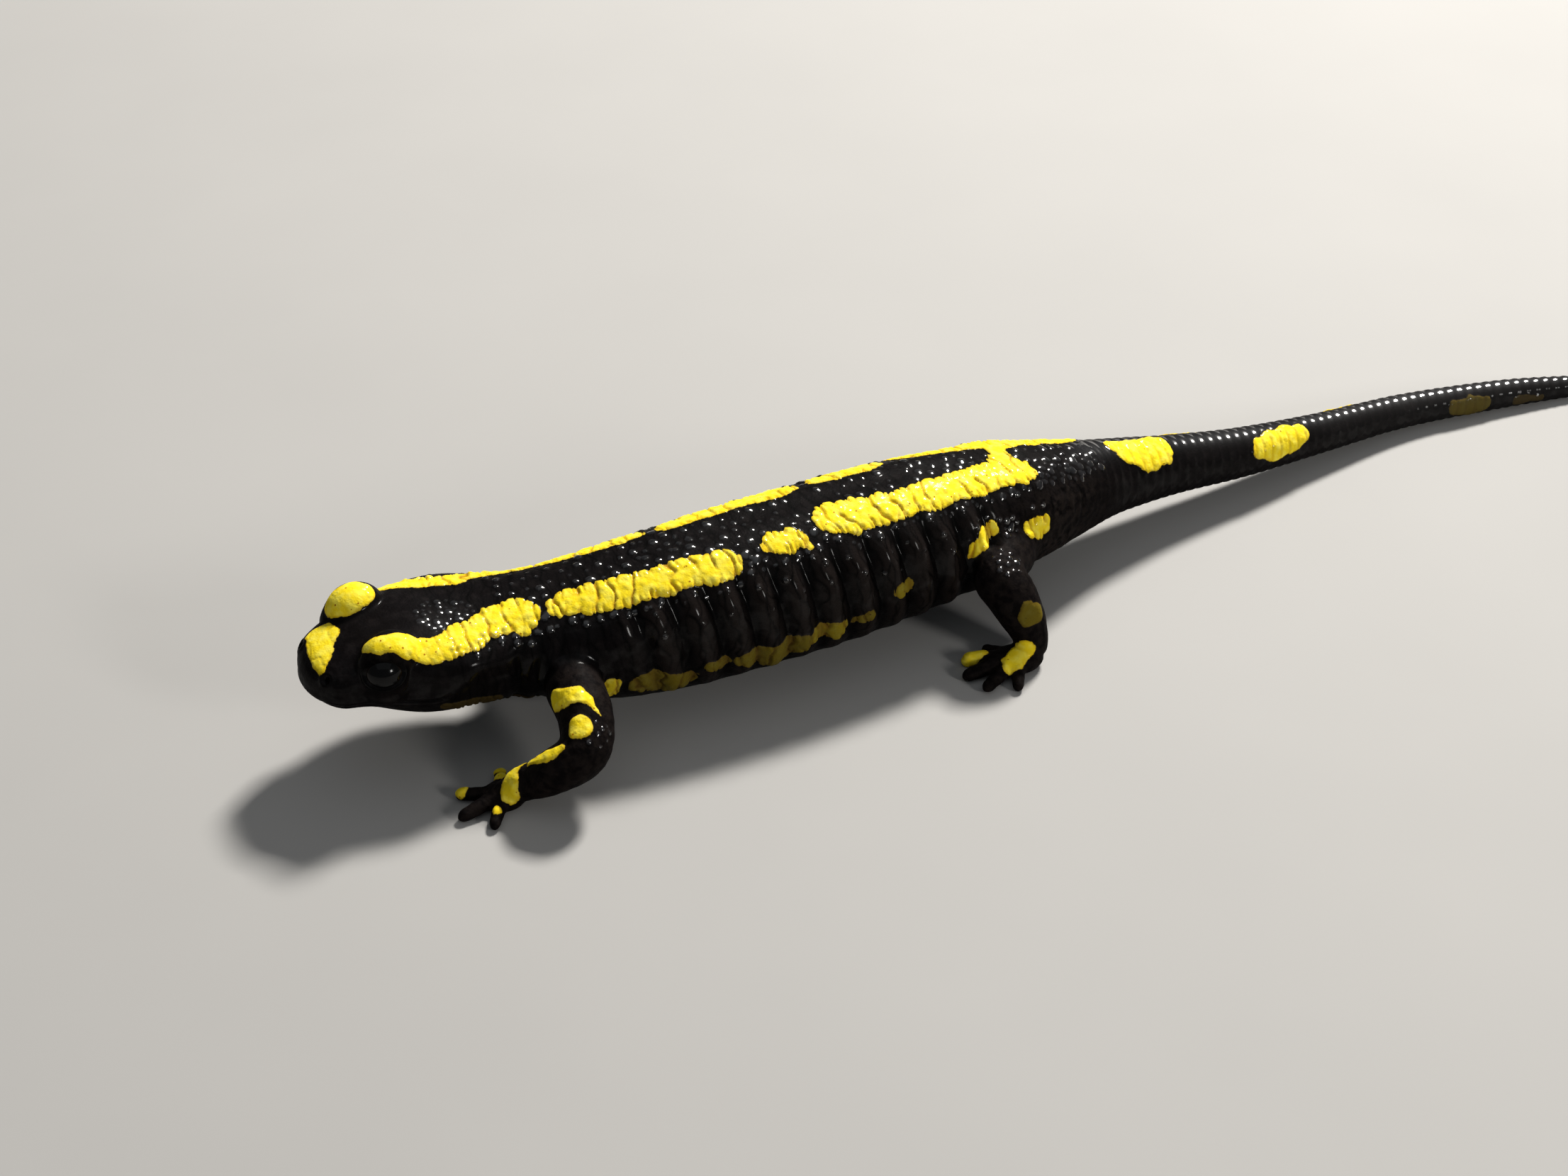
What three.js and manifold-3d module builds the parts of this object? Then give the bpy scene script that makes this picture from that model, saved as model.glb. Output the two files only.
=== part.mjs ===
// A fire salamander, life size, standing still on flat ground. Millimetres, +Z up, the ground at z = 0,
// the head toward -X, the tail toward +X, the animal's left side toward -Y.
// The trunk, head and tail are one loft along a bent spine, parted by thin cuts, and each leg is a tube
// that grows out of it. Places on the body are given as [station, out, up]: station is the distance along
// the spine from the snout, out the distance from the midline toward the named side.

import * as THREE from "three";
import { mergeVertices } from "three/addons/utils/BufferGeometryUtils.js";
import Module from "manifold-3d";

const wasm = await Module();
wasm.setup();

// ---------------------------------------------------------------- driving dimensions

const GAP = 0.3; // clearance between neighbouring pieces
const LEFT = 1;
const RIGHT = -1;

// Middle of the bounding box, measured in the frame of SPINE_POINTS: the part's origin stands under it.
const BOX_CENTRE = { x: 40.1, y: 2.4 };

// The spine from snout to tail tip: x, y, z.
const SPINE_POINTS = [
  [-60.2, 2.1, 13.3],
  [-51.9, 2.7, 14.7],
  [-43.3, 3.3, 13.5],
  [-35.7, 2.4, 12.5],
  [-27.5, 1.0, 12.0],
  [-17.5, 0.1, 12.0],
  [-6.8, 0.2, 12.0],
  [4.5, 0.6, 12.0],
  [18.9, 1.7, 11.9],
  [32.5, 3.2, 11.2],
  [41.7, 4.7, 10.2],
  [50.0, 6.3, 9.0],
  [60.1, 7.6, 7.3],
  [71.3, 8.6, 5.6],
  [86.1, 10.5, 3.8],
  [100.9, 12.1, 2.6],
  [116.1, 11.1, 1.9],
  [124.4, 9.9, 1.5],
  [140.4, 6.8, 0.75],
];

// Cross sections: station, half width, height above the spine, depth below it, squareness (1 is an ellipse).
const SECTIONS = [
  [0, 5.2, 2.6, 3.1, 0.92],
  [4, 6.3, 3.1, 4.4, 0.9],
  [8.5, 7.8, 4.1, 6.3, 0.88],
  [13, 9.1, 4.8, 7.3, 0.88],
  [17, 9.8, 4.9, 7.0, 0.88],
  [21, 9.4, 5.3, 6.5, 0.9],
  [25.5, 8.5, 6.1, 7.0, 0.92],
  [31, 8.7, 7.1, 8.0, 0.94],
  [38, 9.4, 8.3, 9.5, 0.96],
  [47, 10.0, 9.2, 10.2, 0.97],
  [58, 10.4, 9.6, 10.2, 0.97],
  [69, 10.4, 9.6, 10.0, 0.97],
  [79, 9.9, 9.2, 9.4, 0.96],
  [87, 9.0, 8.5, 8.4, 0.95],
  [94, 8.2, 7.8, 7.5, 0.94],
  [99, 7.1, 7.0, 6.8, 0.94],
  [104, 6.0, 6.1, 6.0, 0.95],
  [109, 5.1, 5.3, 5.1, 0.96],
  [114, 4.6, 4.7, 4.5, 0.97],
  [122, 3.9, 4.0, 3.8, 0.98],
  [134, 3.3, 3.4, 3.3, 1],
  [149, 2.7, 2.8, 2.6, 1],
  [164, 2.3, 2.4, 2.3, 1],
  [179, 1.95, 2.05, 2.0, 1],
  [190, 1.5, 1.55, 1.5, 1],
  [203, 0.8, 0.8, 0.8, 1],
];
const SNOUT_ROUND = 3.2; // length over which the snout closes
const TAIL_ROUND = 2.0; // length over which the tail tip closes

// Stations where the body is parted, with the names of the lengths between them.
const PARTINGS = {
  head: [0, 23.5],
  neck: [23.5, 27.6],
  torso_front: [27.6, 46],
  torso_middle: [46, 65],
  torso_rear: [65, 83.6],
  pelvis: [83.6, 104],
  tail_base: [104, 124],
  tail_front: [124, 146],
  tail_middle: [146, 172],
  tail_tip: [172, Infinity],
};

// Soft swellings and hollows: station, angle from the back, reach along, reach around, height.
// Each is repeated on the other side, or is single where its angle is 0 or 180.
const SWELLINGS = [
  [19.0, 62, 4.2, 20, 0.7], // parotoid gland
  [14.5, 100, 3.4, 26, 0.35], // jaw muscle
  [4.8, 52, 2.6, 18, 0.35], // ridge from eye to nostril
  [9.0, 0, 4.5, 22, -0.45], // dip between the eyes
  [25.4, 120, 0.9, 45, -0.5], // gular fold
  [92.0, 38, 3.5, 16, 0.4], // hip
  [100.5, 180, 2.6, 28, 0.9], // cloaca
];
// The ribs of the flank: station of the first groove, then angles where they start, stand upright and end,
// and how far tailward they lean over 60 degrees.
const COSTAL = { first: 39.7, spacing: 4.13, count: 12, depth: 1.0, top: 48, middle: 80, bottom: 150, lean: 1.6 };
const BACK_FURROW = { from: 30, to: 94, depth: 0.35, reach: 9 };

// Eyes and lids: centre [station, out, up above the spine], radius or half sizes [along, across, up].
const EYE = { at: [8.1, 5.6, 1.1], radius: 2.8 };
const LID_THICKNESS = 0.35;
const UPPER_LID = { at: [9.0, 5.1, 2.3], size: [3.6, 3.1, 3.15] };
const LOWER_LID = { at: [8.6, 6.1, -0.9], size: [3.4, 2.4, 1.8] };
// The opening between the lids looks along gaze: [tailward, out, up].
const LID_OPENING = { gaze: [-0.3, 0.86, 0.38], halfWidth: 2.45, halfHeight: 1.8 };
const NOSTRIL = { at: [1.75, 4.2, 1.4], size: [0.45, 0.6, 0.42] };

// The mouth line: station, height against the spine. It ends at the corner of the mouth.
const MOUTH = [
  [-1, -1.3],
  [1, -1.5],
  [4, -2.1],
  [8.5, -2.8],
  [12, -2.7],
  [14.6, -2.0],
];
const MOUTH_OPENING = 0.34;
const MOUTH_DEPTH = 0.6;
const LIP = { height: 0.25, above: 0.75, width: 0.55 };

// Legs: rows of [station, out, height above the ground, radius] from the root to the wrist or ankle.
const FORELEG_LEFT = [
  [31.0, 3.0, 10.5, 3.6],
  [31.3, 9.0, 10.3, 3.5],
  [31.6, 14.5, 9.3, 3.3],
  [30.6, 18.4, 7.4, 3.0],
  [27.0, 18.4, 5.2, 2.6],
  [23.4, 16.9, 3.0, 2.0],
  [20.8, 15.9, 1.5, 1.5],
];
const FORELEG_RIGHT = [
  [31.0, 3.0, 10.5, 3.6],
  [32.0, 8.6, 9.7, 3.5],
  [33.2, 13.2, 8.2, 3.3],
  [33.4, 16.6, 6.2, 3.0],
  [30.6, 17.4, 4.6, 2.6],
  [27.4, 16.9, 2.9, 2.0],
  [24.9, 16.4, 1.5, 1.5],
];
const HINDLEG_LEFT = [
  [93.0, 2.0, 9.5, 4.2],
  [88.6, 7.0, 10.0, 3.9],
  [84.5, 11.2, 10.5, 3.35],
  [84.7, 13.8, 9.0, 3.2],
  [85.5, 15.3, 6.4, 2.85],
  [86.1, 16.3, 3.9, 2.3],
  [86.2, 16.8, 1.5, 1.9],
];
const HINDLEG_RIGHT = [
  [93.5, 2.0, 9.5, 4.2],
  [92.4, 7.0, 9.6, 4.0],
  [91.4, 11.0, 9.3, 3.5],
  [91.4, 14.0, 7.9, 3.15],
  [92.2, 16.0, 6.0, 2.8],
  [93.0, 16.9, 3.7, 2.3],
  [93.1, 17.4, 1.5, 1.9],
];
const ELBOW_CUT = 2.45; // place along the rows above where the upper part ends
const WRIST_CUT = 4.9;

// Digits: angle from straight ahead, positive outward, length from the middle of the palm, radius.
const FINGERS = [
  [-96, 5.2, 0.8],
  [-24, 5.9, 0.85],
  [20, 6.3, 0.9],
  [64, 5.6, 0.8],
];
const TOES = [
  [-66, 5.2, 0.85],
  [-34, 6.9, 0.95],
  [-6, 7.8, 1.0],
  [22, 7.4, 0.95],
  [56, 5.8, 0.85],
];
// The palm or sole is a low dome: half sizes, height of its middle, distance ahead of the leg's last row.
const PALM = { size: [2.7, 2.6, 1.35], height: 1.1, ahead: 0 };
const SOLE = { size: [3.5, 2.7, 1.4], height: 1.15, ahead: 2.1 };
// Rings of a digit: share of its length, share of its radius, height of its middle in radii.
const DIGIT_RINGS = [
  [0.12, 1.15, 1.3],
  [0.45, 1.0, 1.25],
  [0.72, 0.92, 1.0],
  [0.9, 0.8, 0.78],
  [0.98, 0.45, 0.72],
];
const DIGIT_TIP_HEIGHT = 0.65;

// Mesh fineness.
const BODY_SIDES = 28;
const TAIL_SIDES = 16;
const LEG_SIDES = 12;
const DIGIT_SIDES = 7;
const BODY_STEP = COSTAL.spacing / 4;
const HEAD_STEP = 1.2;
const TAIL_STEP = 3.6;

// ---------------------------------------------------------------- spine and sections

// Reads a table whose rows start with their key, by a smooth curve through the rows.
function readTable(rows, key) {
  const last = rows.length - 1;
  const k = Math.min(Math.max(key, rows[0][0]), rows[last][0]);
  let i = 0;
  while (i < last - 1 && rows[i + 1][0] <= k) i++;
  const [a, b] = [rows[i], rows[i + 1]];
  const [before, after] = [rows[Math.max(i - 1, 0)], rows[Math.min(i + 2, last)]];
  const h = b[0] - a[0];
  const u = (k - a[0]) / h;
  return a.slice(1).map((_, j) => {
    const c = j + 1;
    const slopeA = (b[c] - before[c]) / (b[0] - before[0]);
    const slopeB = (after[c] - a[c]) / (after[0] - a[0]);
    return (
      (1 + 2 * u) * (1 - u) ** 2 * a[c] +
      u * (1 - u) ** 2 * h * slopeA +
      u * u * (3 - 2 * u) * b[c] +
      u * u * (u - 1) * h * slopeB
    );
  });
}

function withStations(points) {
  let station = 0;
  return points.map((p, i) => {
    if (i > 0) station += Math.hypot(...p.map((v, j) => v - points[i - 1][j]));
    return [station, ...p];
  });
}

const SPINE = withStations(SPINE_POINTS);
const LENGTH = SPINE[SPINE.length - 1][0];

// The spine's point at a station, with the directions tailward, to the animal's right, and up.
function spineFrame(station) {
  const reach = 0.5;
  const point = (s) => new THREE.Vector3(...readTable(SPINE, s));
  const tailward = point(station + reach).sub(point(station - reach)).normalize();
  const right = new THREE.Vector3(0, 0, 1).cross(tailward).normalize();
  const up = tailward.clone().cross(right);
  return { origin: point(station), tailward, right, up };
}

// A point given as station, out toward a side, and up from the spine.
function onBody([station, out, up], side) {
  const frame = spineFrame(station);
  return frame.origin
    .addScaledVector(frame.right, -side * out)
    .addScaledVector(frame.up, up);
}

// A point given as station, out toward a side, and height above the ground.
function overGround([station, out, height], side) {
  const point = onBody([station, out, 0], side);
  point.z = height;
  return point;
}

function section(station) {
  const [width, top, bottom, square] = readTable(SECTIONS, station);
  const close = (distance, round) =>
    distance < round ? Math.sqrt(Math.max(0, 1 - (1 - distance / round) ** 2)) : 1;
  const f = close(station, SNOUT_ROUND) * close(LENGTH - station, TAIL_ROUND);
  return { width: width * f, top: top * f, bottom: bottom * f, square };
}

const bell = (x) => Math.exp(-x * x);

function swelling(station, angle) {
  return SWELLINGS.reduce(
    (sum, [s, centre, along, around, rise]) =>
      sum + rise * bell((station - s) / along) * bell((angle - centre) / around),
    0,
  );
}

// Round cushions down the flank, with narrow grooves between them.
function costalRelief(station, angle) {
  const { first, spacing, count, depth, top, middle, bottom, lean } = COSTAL;
  const { smoothstep } = THREE.MathUtils;
  const phase = (station - first - (lean * (angle - middle)) / 60) / spacing;
  const cushion = (0.5 - 0.5 * Math.cos(2 * Math.PI * phase)) ** 0.7;
  const ends = smoothstep(phase, -0.9, 0.3) * (1 - smoothstep(phase, count - 1.3, count - 0.1));
  const reach = smoothstep(angle, top - 14, top + 10) * (1 - smoothstep(angle, bottom - 35, bottom));
  return ends * reach * depth * (cushion - 0.75);
}

function furrowRelief(station, angle) {
  const { from, to, depth, reach } = BACK_FURROW;
  const middle = (from + to) / 2;
  const fade = Math.max(0, 1 - ((station - middle) / (to - middle)) ** 4);
  return -depth * fade * bell(angle / reach);
}

function lipRelief(station, height) {
  const corner = MOUTH[MOUTH.length - 1][0];
  if (station >= corner) return 0;
  const [line] = readTable(MOUTH, station);
  const fade = Math.min(1, (corner - station) / 3) * Math.min(1, station / 1.5);
  const upper = bell((height - line - LIP.above) / LIP.width);
  const lower = bell((height - line + LIP.above) / LIP.width);
  return LIP.height * fade * (upper - 0.5 * lower);
}

// How far the skin stands out from the plain section, at an angle in degrees from the back.
function relief(station, angle, height) {
  const a = Math.abs(angle);
  return (
    swelling(station, a) +
    costalRelief(station, a) +
    furrowRelief(station, a) +
    lipRelief(station, height)
  );
}

// One ring of the skin, moved outward by grow.
function skinRing(station, angles, grow = 0) {
  const frame = spineFrame(station);
  const { width, top, bottom, square } = section(station);
  return angles.map((angle) => {
    const a = THREE.MathUtils.degToRad(angle);
    const power = (v) => Math.sign(v) * Math.abs(v) ** square;
    const across = width * power(Math.sin(a));
    const upward = (Math.cos(a) > 0 ? top : bottom) * power(Math.cos(a));
    const radius = Math.hypot(across, upward) || 1;
    const scale = 1 + (grow + relief(station, angle, upward)) / radius;
    return frame.origin
      .clone()
      .addScaledVector(frame.right, -across * scale)
      .addScaledVector(frame.up, upward * scale);
  });
}

// ---------------------------------------------------------------- meshes and solids

function range(from, to, step) {
  const count = Math.max(1, Math.round((to - from) / step));
  return Array.from({ length: count + 1 }, (_, i) => from + ((to - from) * i) / count);
}

function evenAngles(sides) {
  return Array.from({ length: sides }, (_, i) => (i * 360) / sides - 180);
}

// A closed tube through rings of equal count, with a fan over each end to its middle or a given point.
function closedTube(rings, startPoint, endPoint) {
  const count = rings[0].length;
  const middle = (ring) =>
    ring.reduce((sum, p) => sum.add(p), new THREE.Vector3()).divideScalar(ring.length);
  const points = [...rings.flat(), startPoint ?? middle(rings[0]), endPoint ?? middle(rings.at(-1))];
  const [start, end] = [points.length - 2, points.length - 1];
  const faces = [];
  for (let j = 0; j < count; j++) {
    const next = (j + 1) % count;
    for (let i = 0; i < rings.length - 1; i++) {
      const [a, b] = [i * count + j, i * count + next];
      faces.push(a, b, a + count, b, b + count, a + count);
    }
    const tail = (rings.length - 1) * count;
    faces.push(start, next, j, end, tail + j, tail + next);
  }
  return solidOf(points, faces);
}

// A manifold solid from points and faces, turned outward if it came out inside out.
function solidOf(points, faces) {
  const geometry = new THREE.BufferGeometry().setFromPoints(points).setIndex(faces);
  return solidOfGeometry(geometry);
}

function solidOfGeometry(geometry) {
  const bare = geometry.clone();
  bare.deleteAttribute("normal");
  bare.deleteAttribute("uv");
  const merged = mergeVertices(bare, 1e-4);
  const build = (triVerts) =>
    new wasm.Manifold(
      new wasm.Mesh({ numProp: 3, vertProperties: merged.attributes.position.array, triVerts }),
    );
  const faces = Uint32Array.from(merged.index.array);
  const solid = build(faces);
  return solid.volume() < 0 ? build(faces.reverse()) : solid;
}

function hullOf(points) {
  return wasm.Manifold.hull(points.map((p) => p.toArray()));
}

function largestBody(solid) {
  const bodies = solid.decompose();
  return bodies.reduce((best, body) => (body.volume() > best.volume() ? body : best));
}

// An ellipsoid set square to the spine: size is [along, across, up].
function ellipsoid({ at, size }, side, [around, tall] = [18, 12]) {
  const frame = spineFrame(at[0]);
  const geometry = new THREE.SphereGeometry(1, around, tall);
  const axes = new THREE.Matrix4().makeBasis(frame.tailward, frame.right, frame.up);
  geometry.scale(...size).applyMatrix4(axes);
  geometry.translate(...onBody(at, side).toArray());
  return solidOfGeometry(geometry);
}

// Stations between two ends, a step apart and in step with the grooves between the ribs.
function ringStations(from, to, step) {
  const first = Math.ceil((from - COSTAL.first) / step + 0.4);
  const last = Math.floor((to - COSTAL.first) / step - 0.4);
  const between = Array.from({ length: last - first + 1 }, (_, i) => COSTAL.first + (first + i) * step);
  return [from, ...between, to];
}

// The body between two stations.
function bodyLength(from, to, step, angles, grow = 0) {
  const first = Math.max(from, 0.14);
  const last = Math.min(to, LENGTH - 0.08);
  const stations = ringStations(first, last, step);
  if (from < SNOUT_ROUND) stations.splice(1, 0, 0.55);
  const rings = stations.map((s) => skinRing(s, angles, grow));
  const tip = (s) => spineFrame(s).origin;
  return closedTube(rings, from <= 0 ? tip(0) : undefined, to >= LENGTH ? tip(LENGTH) : undefined);
}

// Everything below the ground, cut away to leave flats that stand.
function aboveGround(solid) {
  const slab = new THREE.BoxGeometry(400, 200, 20);
  slab.translate(0, 0, -10);
  return solid.subtract(solidOfGeometry(slab));
}

// ---------------------------------------------------------------- head

// Angles round the head, closer together along the mouth.
function headAngles() {
  const half = [...range(0, 90, 15), 99, ...range(106, 134, 5.6), 148, 164];
  return [...half.slice(1).map((a) => -a).reverse(), ...half, 180];
}

// The slit of the mouth, from one corner round the snout to the other.
function mouthSlit() {
  const corner = MOUTH[MOUTH.length - 1][0];
  const reach = 14;
  const rings = range(-1, corner, 1.56).map((station) => {
    const frame = spineFrame(Math.max(station, 0));
    frame.origin.addScaledVector(frame.tailward, Math.min(station, 0));
    const [line] = readTable(MOUTH, station);
    const half = MOUTH_OPENING / 2;
    const corners = [[-reach, -half], [reach, -half], [reach, half], [-reach, half]];
    return corners.map(([across, up]) =>
      frame.origin
        .clone()
        .addScaledVector(frame.right, across)
        .addScaledVector(frame.up, line + up),
    );
  });
  const core = bodyLength(0, corner + 4, HEAD_STEP, headAngles(), -MOUTH_DEPTH);
  return closedTube(rings).subtract(core);
}

function ball(at, radius, side) {
  return ellipsoid({ at, size: [radius, radius, radius] }, side);
}

// An oval bar that runs from the middle of the eye along its gaze.
function lidOpening(side) {
  const { gaze, halfWidth, halfHeight } = LID_OPENING;
  const frame = spineFrame(EYE.at[0]);
  const direction = new THREE.Vector3()
    .addScaledVector(frame.tailward, gaze[0])
    .addScaledVector(frame.right, -side * gaze[1])
    .addScaledVector(frame.up, gaze[2])
    .normalize();
  const level = direction.clone().cross(frame.up).normalize();
  const upright = level.clone().cross(direction);
  const reach = 6;
  const bar = new THREE.CylinderGeometry(1, 1, reach, 20).rotateX(Math.PI / 2);
  bar.scale(halfWidth, halfHeight, 1).translate(0, 0, reach / 2);
  bar.applyMatrix4(new THREE.Matrix4().makeBasis(level, upright, direction));
  bar.translate(...onBody(EYE.at, side).toArray());
  return solidOfGeometry(bar);
}

function makeHead() {
  const [from, to] = PARTINGS.head;
  const socket = EYE.radius + GAP;
  let head = bodyLength(from, to, HEAD_STEP, headAngles());
  for (const side of [LEFT, RIGHT]) {
    head = head
      .add(ellipsoid(UPPER_LID, side))
      .add(ellipsoid(LOWER_LID, side))
      .add(ball(EYE.at, socket + LID_THICKNESS, side));
  }
  for (const side of [LEFT, RIGHT]) {
    head = head
      .subtract(ball(EYE.at, socket, side))
      .subtract(lidOpening(side))
      .subtract(ellipsoid(NOSTRIL, side, [8, 6]));
  }
  return largestBody(head.subtract(mouthSlit()));
}

// ---------------------------------------------------------------- legs

// A tube along rows of [station, out, height, radius], between two places counted in rows.
function legTube(rows, side, from, to, grow = 0) {
  const keyed = rows.map((row, i) => [i, ...row]);
  const at = (t) => {
    const [station, out, height, radius] = readTable(keyed, t);
    return { point: overGround([station, out, height], side), radius: radius + grow };
  };
  const rings = range(from, to, 0.34).map((t) => {
    const { point, radius } = at(t);
    const along = at(t + 0.05).point.sub(at(t - 0.05).point).normalize();
    const level = along.clone().cross(new THREE.Vector3(0, 0, 1)).normalize();
    const upright = level.clone().cross(along);
    return evenAngles(LEG_SIDES).map((angle) => {
      const a = THREE.MathUtils.degToRad(angle);
      return point
        .clone()
        .addScaledVector(level, radius * Math.cos(a))
        .addScaledVector(upright, radius * Math.sin(a));
    });
  });
  return rings
    .slice(1)
    .map((ring, i) => hullOf([...rings[i], ...ring]))
    .reduce((solid, length) => solid.add(length));
}

// A finger or toe: a slightly arched, blunt tube from the palm to its tip, resting on the ground.
function digit(palm, ahead, outward, [angle, length, radius]) {
  const a = THREE.MathUtils.degToRad(angle);
  const along = ahead.clone().multiplyScalar(Math.cos(a)).addScaledVector(outward, Math.sin(a));
  const across = along.clone().cross(new THREE.Vector3(0, 0, 1));
  const ringAt = ([share, wide, high]) => {
    const centre = palm.clone().addScaledVector(along, share * length);
    centre.z = radius * high;
    return evenAngles(DIGIT_SIDES).map((degrees) => {
      const t = THREE.MathUtils.degToRad(degrees);
      return centre
        .clone()
        .addScaledVector(across, radius * wide * Math.cos(t))
        .add(new THREE.Vector3(0, 0, radius * wide * Math.sin(t)));
    });
  };
  const tip = palm.clone().addScaledVector(along, length);
  tip.z = radius * DIGIT_TIP_HEIGHT;
  return closedTube(DIGIT_RINGS.map(ringAt), undefined, tip);
}

// The palm or sole with its digits.
function paw(rows, side, digits, { size, height, ahead: lead }) {
  const [station, out] = rows[rows.length - 1];
  const frame = spineFrame(station);
  const ahead = frame.tailward.clone().negate().setZ(0).normalize();
  const outward = frame.right.clone().multiplyScalar(-side);
  const palm = overGround([station, out, height], side).addScaledVector(ahead, lead);
  const pad = new THREE.SphereGeometry(1, 12, 8);
  pad.scale(...size);
  pad.applyMatrix4(new THREE.Matrix4().makeBasis(ahead, outward, new THREE.Vector3(0, 0, side)));
  pad.translate(...palm.toArray());
  return digits.reduce(
    (solid, row) => solid.add(digit(palm, ahead, outward, row)),
    solidOfGeometry(pad),
  );
}

function makeLeg(rows, side, digits, pad, names) {
  const around = bodyLength(12, 118, BODY_STEP, evenAngles(BODY_SIDES), GAP + 0.05);
  const cut = GAP / 3; // in rows, which lie 3 to 5 mm apart
  const last = rows.length - 1;
  const upper = legTube(rows, side, 0, ELBOW_CUT).subtract(around);
  const nearUpper = legTube(rows, side, 0, ELBOW_CUT, GAP);
  const lower = legTube(rows, side, ELBOW_CUT + cut, WRIST_CUT).subtract(nearUpper);
  const nearLower = legTube(rows, side, ELBOW_CUT + cut, WRIST_CUT, GAP);
  const pawAhead = paw(rows, side, digits, pad).subtract(nearLower);
  const end = legTube(rows, side, WRIST_CUT + cut, last).add(pawAhead);
  return [
    [names[0], largestBody(upper)],
    [names[1], largestBody(lower.subtract(around))],
    [names[2], largestBody(aboveGround(end))],
  ];
}

// ---------------------------------------------------------------- materials and assembly

const SKIN = { color: 0x17120f, roughness: 0.32, metalness: 0 };
const EYE_BLACK = { color: 0x050505, roughness: 0.06, metalness: 0 };

function meshOf(name, solid, look) {
  const { vertProperties, triVerts } = solid.getMesh();
  const geometry = new THREE.BufferGeometry();
  geometry.setAttribute("position", new THREE.BufferAttribute(vertProperties, 3));
  geometry.setIndex(new THREE.BufferAttribute(triVerts, 1));
  geometry.computeVertexNormals();
  const mesh = new THREE.Mesh(geometry, new THREE.MeshStandardMaterial(look));
  mesh.name = name;
  return mesh;
}

function bodyNodes() {
  return Object.entries(PARTINGS)
    .filter(([name]) => name !== "head")
    .map(([name, [from, to]]) => {
      const tail = name.startsWith("tail");
      const angles = evenAngles(tail ? TAIL_SIDES : BODY_SIDES);
      const step = tail ? TAIL_STEP : BODY_STEP;
      return [name, aboveGround(bodyLength(from + GAP, to, step, angles))];
    });
}

function legNodes() {
  const fore = (side) => ["upper_arm", "forearm", "hand"].map((part) => `${part}_${side}`);
  const hind = (side) => ["thigh", "shank", "foot"].map((part) => `${part}_${side}`);
  return [
    ...makeLeg(FORELEG_LEFT, LEFT, FINGERS, PALM, fore("left")),
    ...makeLeg(FORELEG_RIGHT, RIGHT, FINGERS, PALM, fore("right")),
    ...makeLeg(HINDLEG_LEFT, LEFT, TOES, SOLE, hind("left")),
    ...makeLeg(HINDLEG_RIGHT, RIGHT, TOES, SOLE, hind("right")),
  ];
}

const salamander = new THREE.Group();
salamander.add(meshOf("head", makeHead(), SKIN));
salamander.add(meshOf("eye_left", ball(EYE.at, EYE.radius, LEFT), EYE_BLACK));
salamander.add(meshOf("eye_right", ball(EYE.at, EYE.radius, RIGHT), EYE_BLACK));
for (const [name, solid] of [...bodyNodes(), ...legNodes()])
  salamander.add(meshOf(name, solid, SKIN));
salamander.position.set(-BOX_CENTRE.x, -BOX_CENTRE.y, 0);

export default salamander;
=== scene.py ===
"""A fire salamander, life size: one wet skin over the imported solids, two dark eyes, a pale studio floor.

Measures are in millimetres in the frame of the spine's points, x toward the tail, y toward the animal's
right, z up from the ground, and move to the part's frame in metres at the end. Stations run along the
spine from the snout, and angles round the body in degrees from the back, positive on the animal's left.
"""

import math
from types import SimpleNamespace as Table

import bpy
import numpy as np
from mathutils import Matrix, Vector
from mathutils.kdtree import KDTree


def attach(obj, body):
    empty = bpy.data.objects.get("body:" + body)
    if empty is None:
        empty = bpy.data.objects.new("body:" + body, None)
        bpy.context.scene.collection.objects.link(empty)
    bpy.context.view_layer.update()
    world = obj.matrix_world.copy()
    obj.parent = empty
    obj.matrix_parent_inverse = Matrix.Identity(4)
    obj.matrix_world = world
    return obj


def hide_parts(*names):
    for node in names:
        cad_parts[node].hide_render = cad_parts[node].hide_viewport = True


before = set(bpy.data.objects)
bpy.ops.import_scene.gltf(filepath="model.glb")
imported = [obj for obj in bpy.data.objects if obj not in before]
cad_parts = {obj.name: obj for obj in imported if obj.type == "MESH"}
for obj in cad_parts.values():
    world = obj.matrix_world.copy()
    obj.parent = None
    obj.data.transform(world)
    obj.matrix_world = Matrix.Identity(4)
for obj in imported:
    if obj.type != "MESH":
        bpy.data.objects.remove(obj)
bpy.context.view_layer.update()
SCENE = bpy.context.scene

MM = 0.001
BOX_CENTRE = np.array([40.1, 2.4, 0.0])  # the part's origin in the spine's frame
VERTICAL = np.array([0.0, 0.0, 1.0])
LEFT, RIGHT = 1, -1
SIDES = {"left": LEFT, "right": RIGHT}

# ---- the animal's measures

SPINE_POINTS = [
    (-60.2, 2.1, 13.3), (-51.9, 2.7, 14.7), (-43.3, 3.3, 13.5), (-35.7, 2.4, 12.5), (-27.5, 1, 12),
    (-17.5, 0.1, 12), (-6.8, 0.2, 12), (4.5, 0.6, 12), (18.9, 1.7, 11.9), (32.5, 3.2, 11.2),
    (41.7, 4.7, 10.2), (50, 6.3, 9), (60.1, 7.6, 7.3), (71.3, 8.6, 5.6), (86.1, 10.5, 3.8),
    (100.9, 12.1, 2.6), (116.1, 11.1, 1.9), (124.4, 9.9, 1.5), (140.4, 6.8, 0.75),
]


def with_stations(points):
    """Puts the length along the points before each."""
    p = np.asarray(points, float)
    steps = np.linalg.norm(np.diff(p, axis=0), axis=1)
    return np.column_stack([np.concatenate([[0], np.cumsum(steps)]), p])


SPINE = with_stations(SPINE_POINTS)
LENGTH = float(SPINE[-1, 0])

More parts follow.
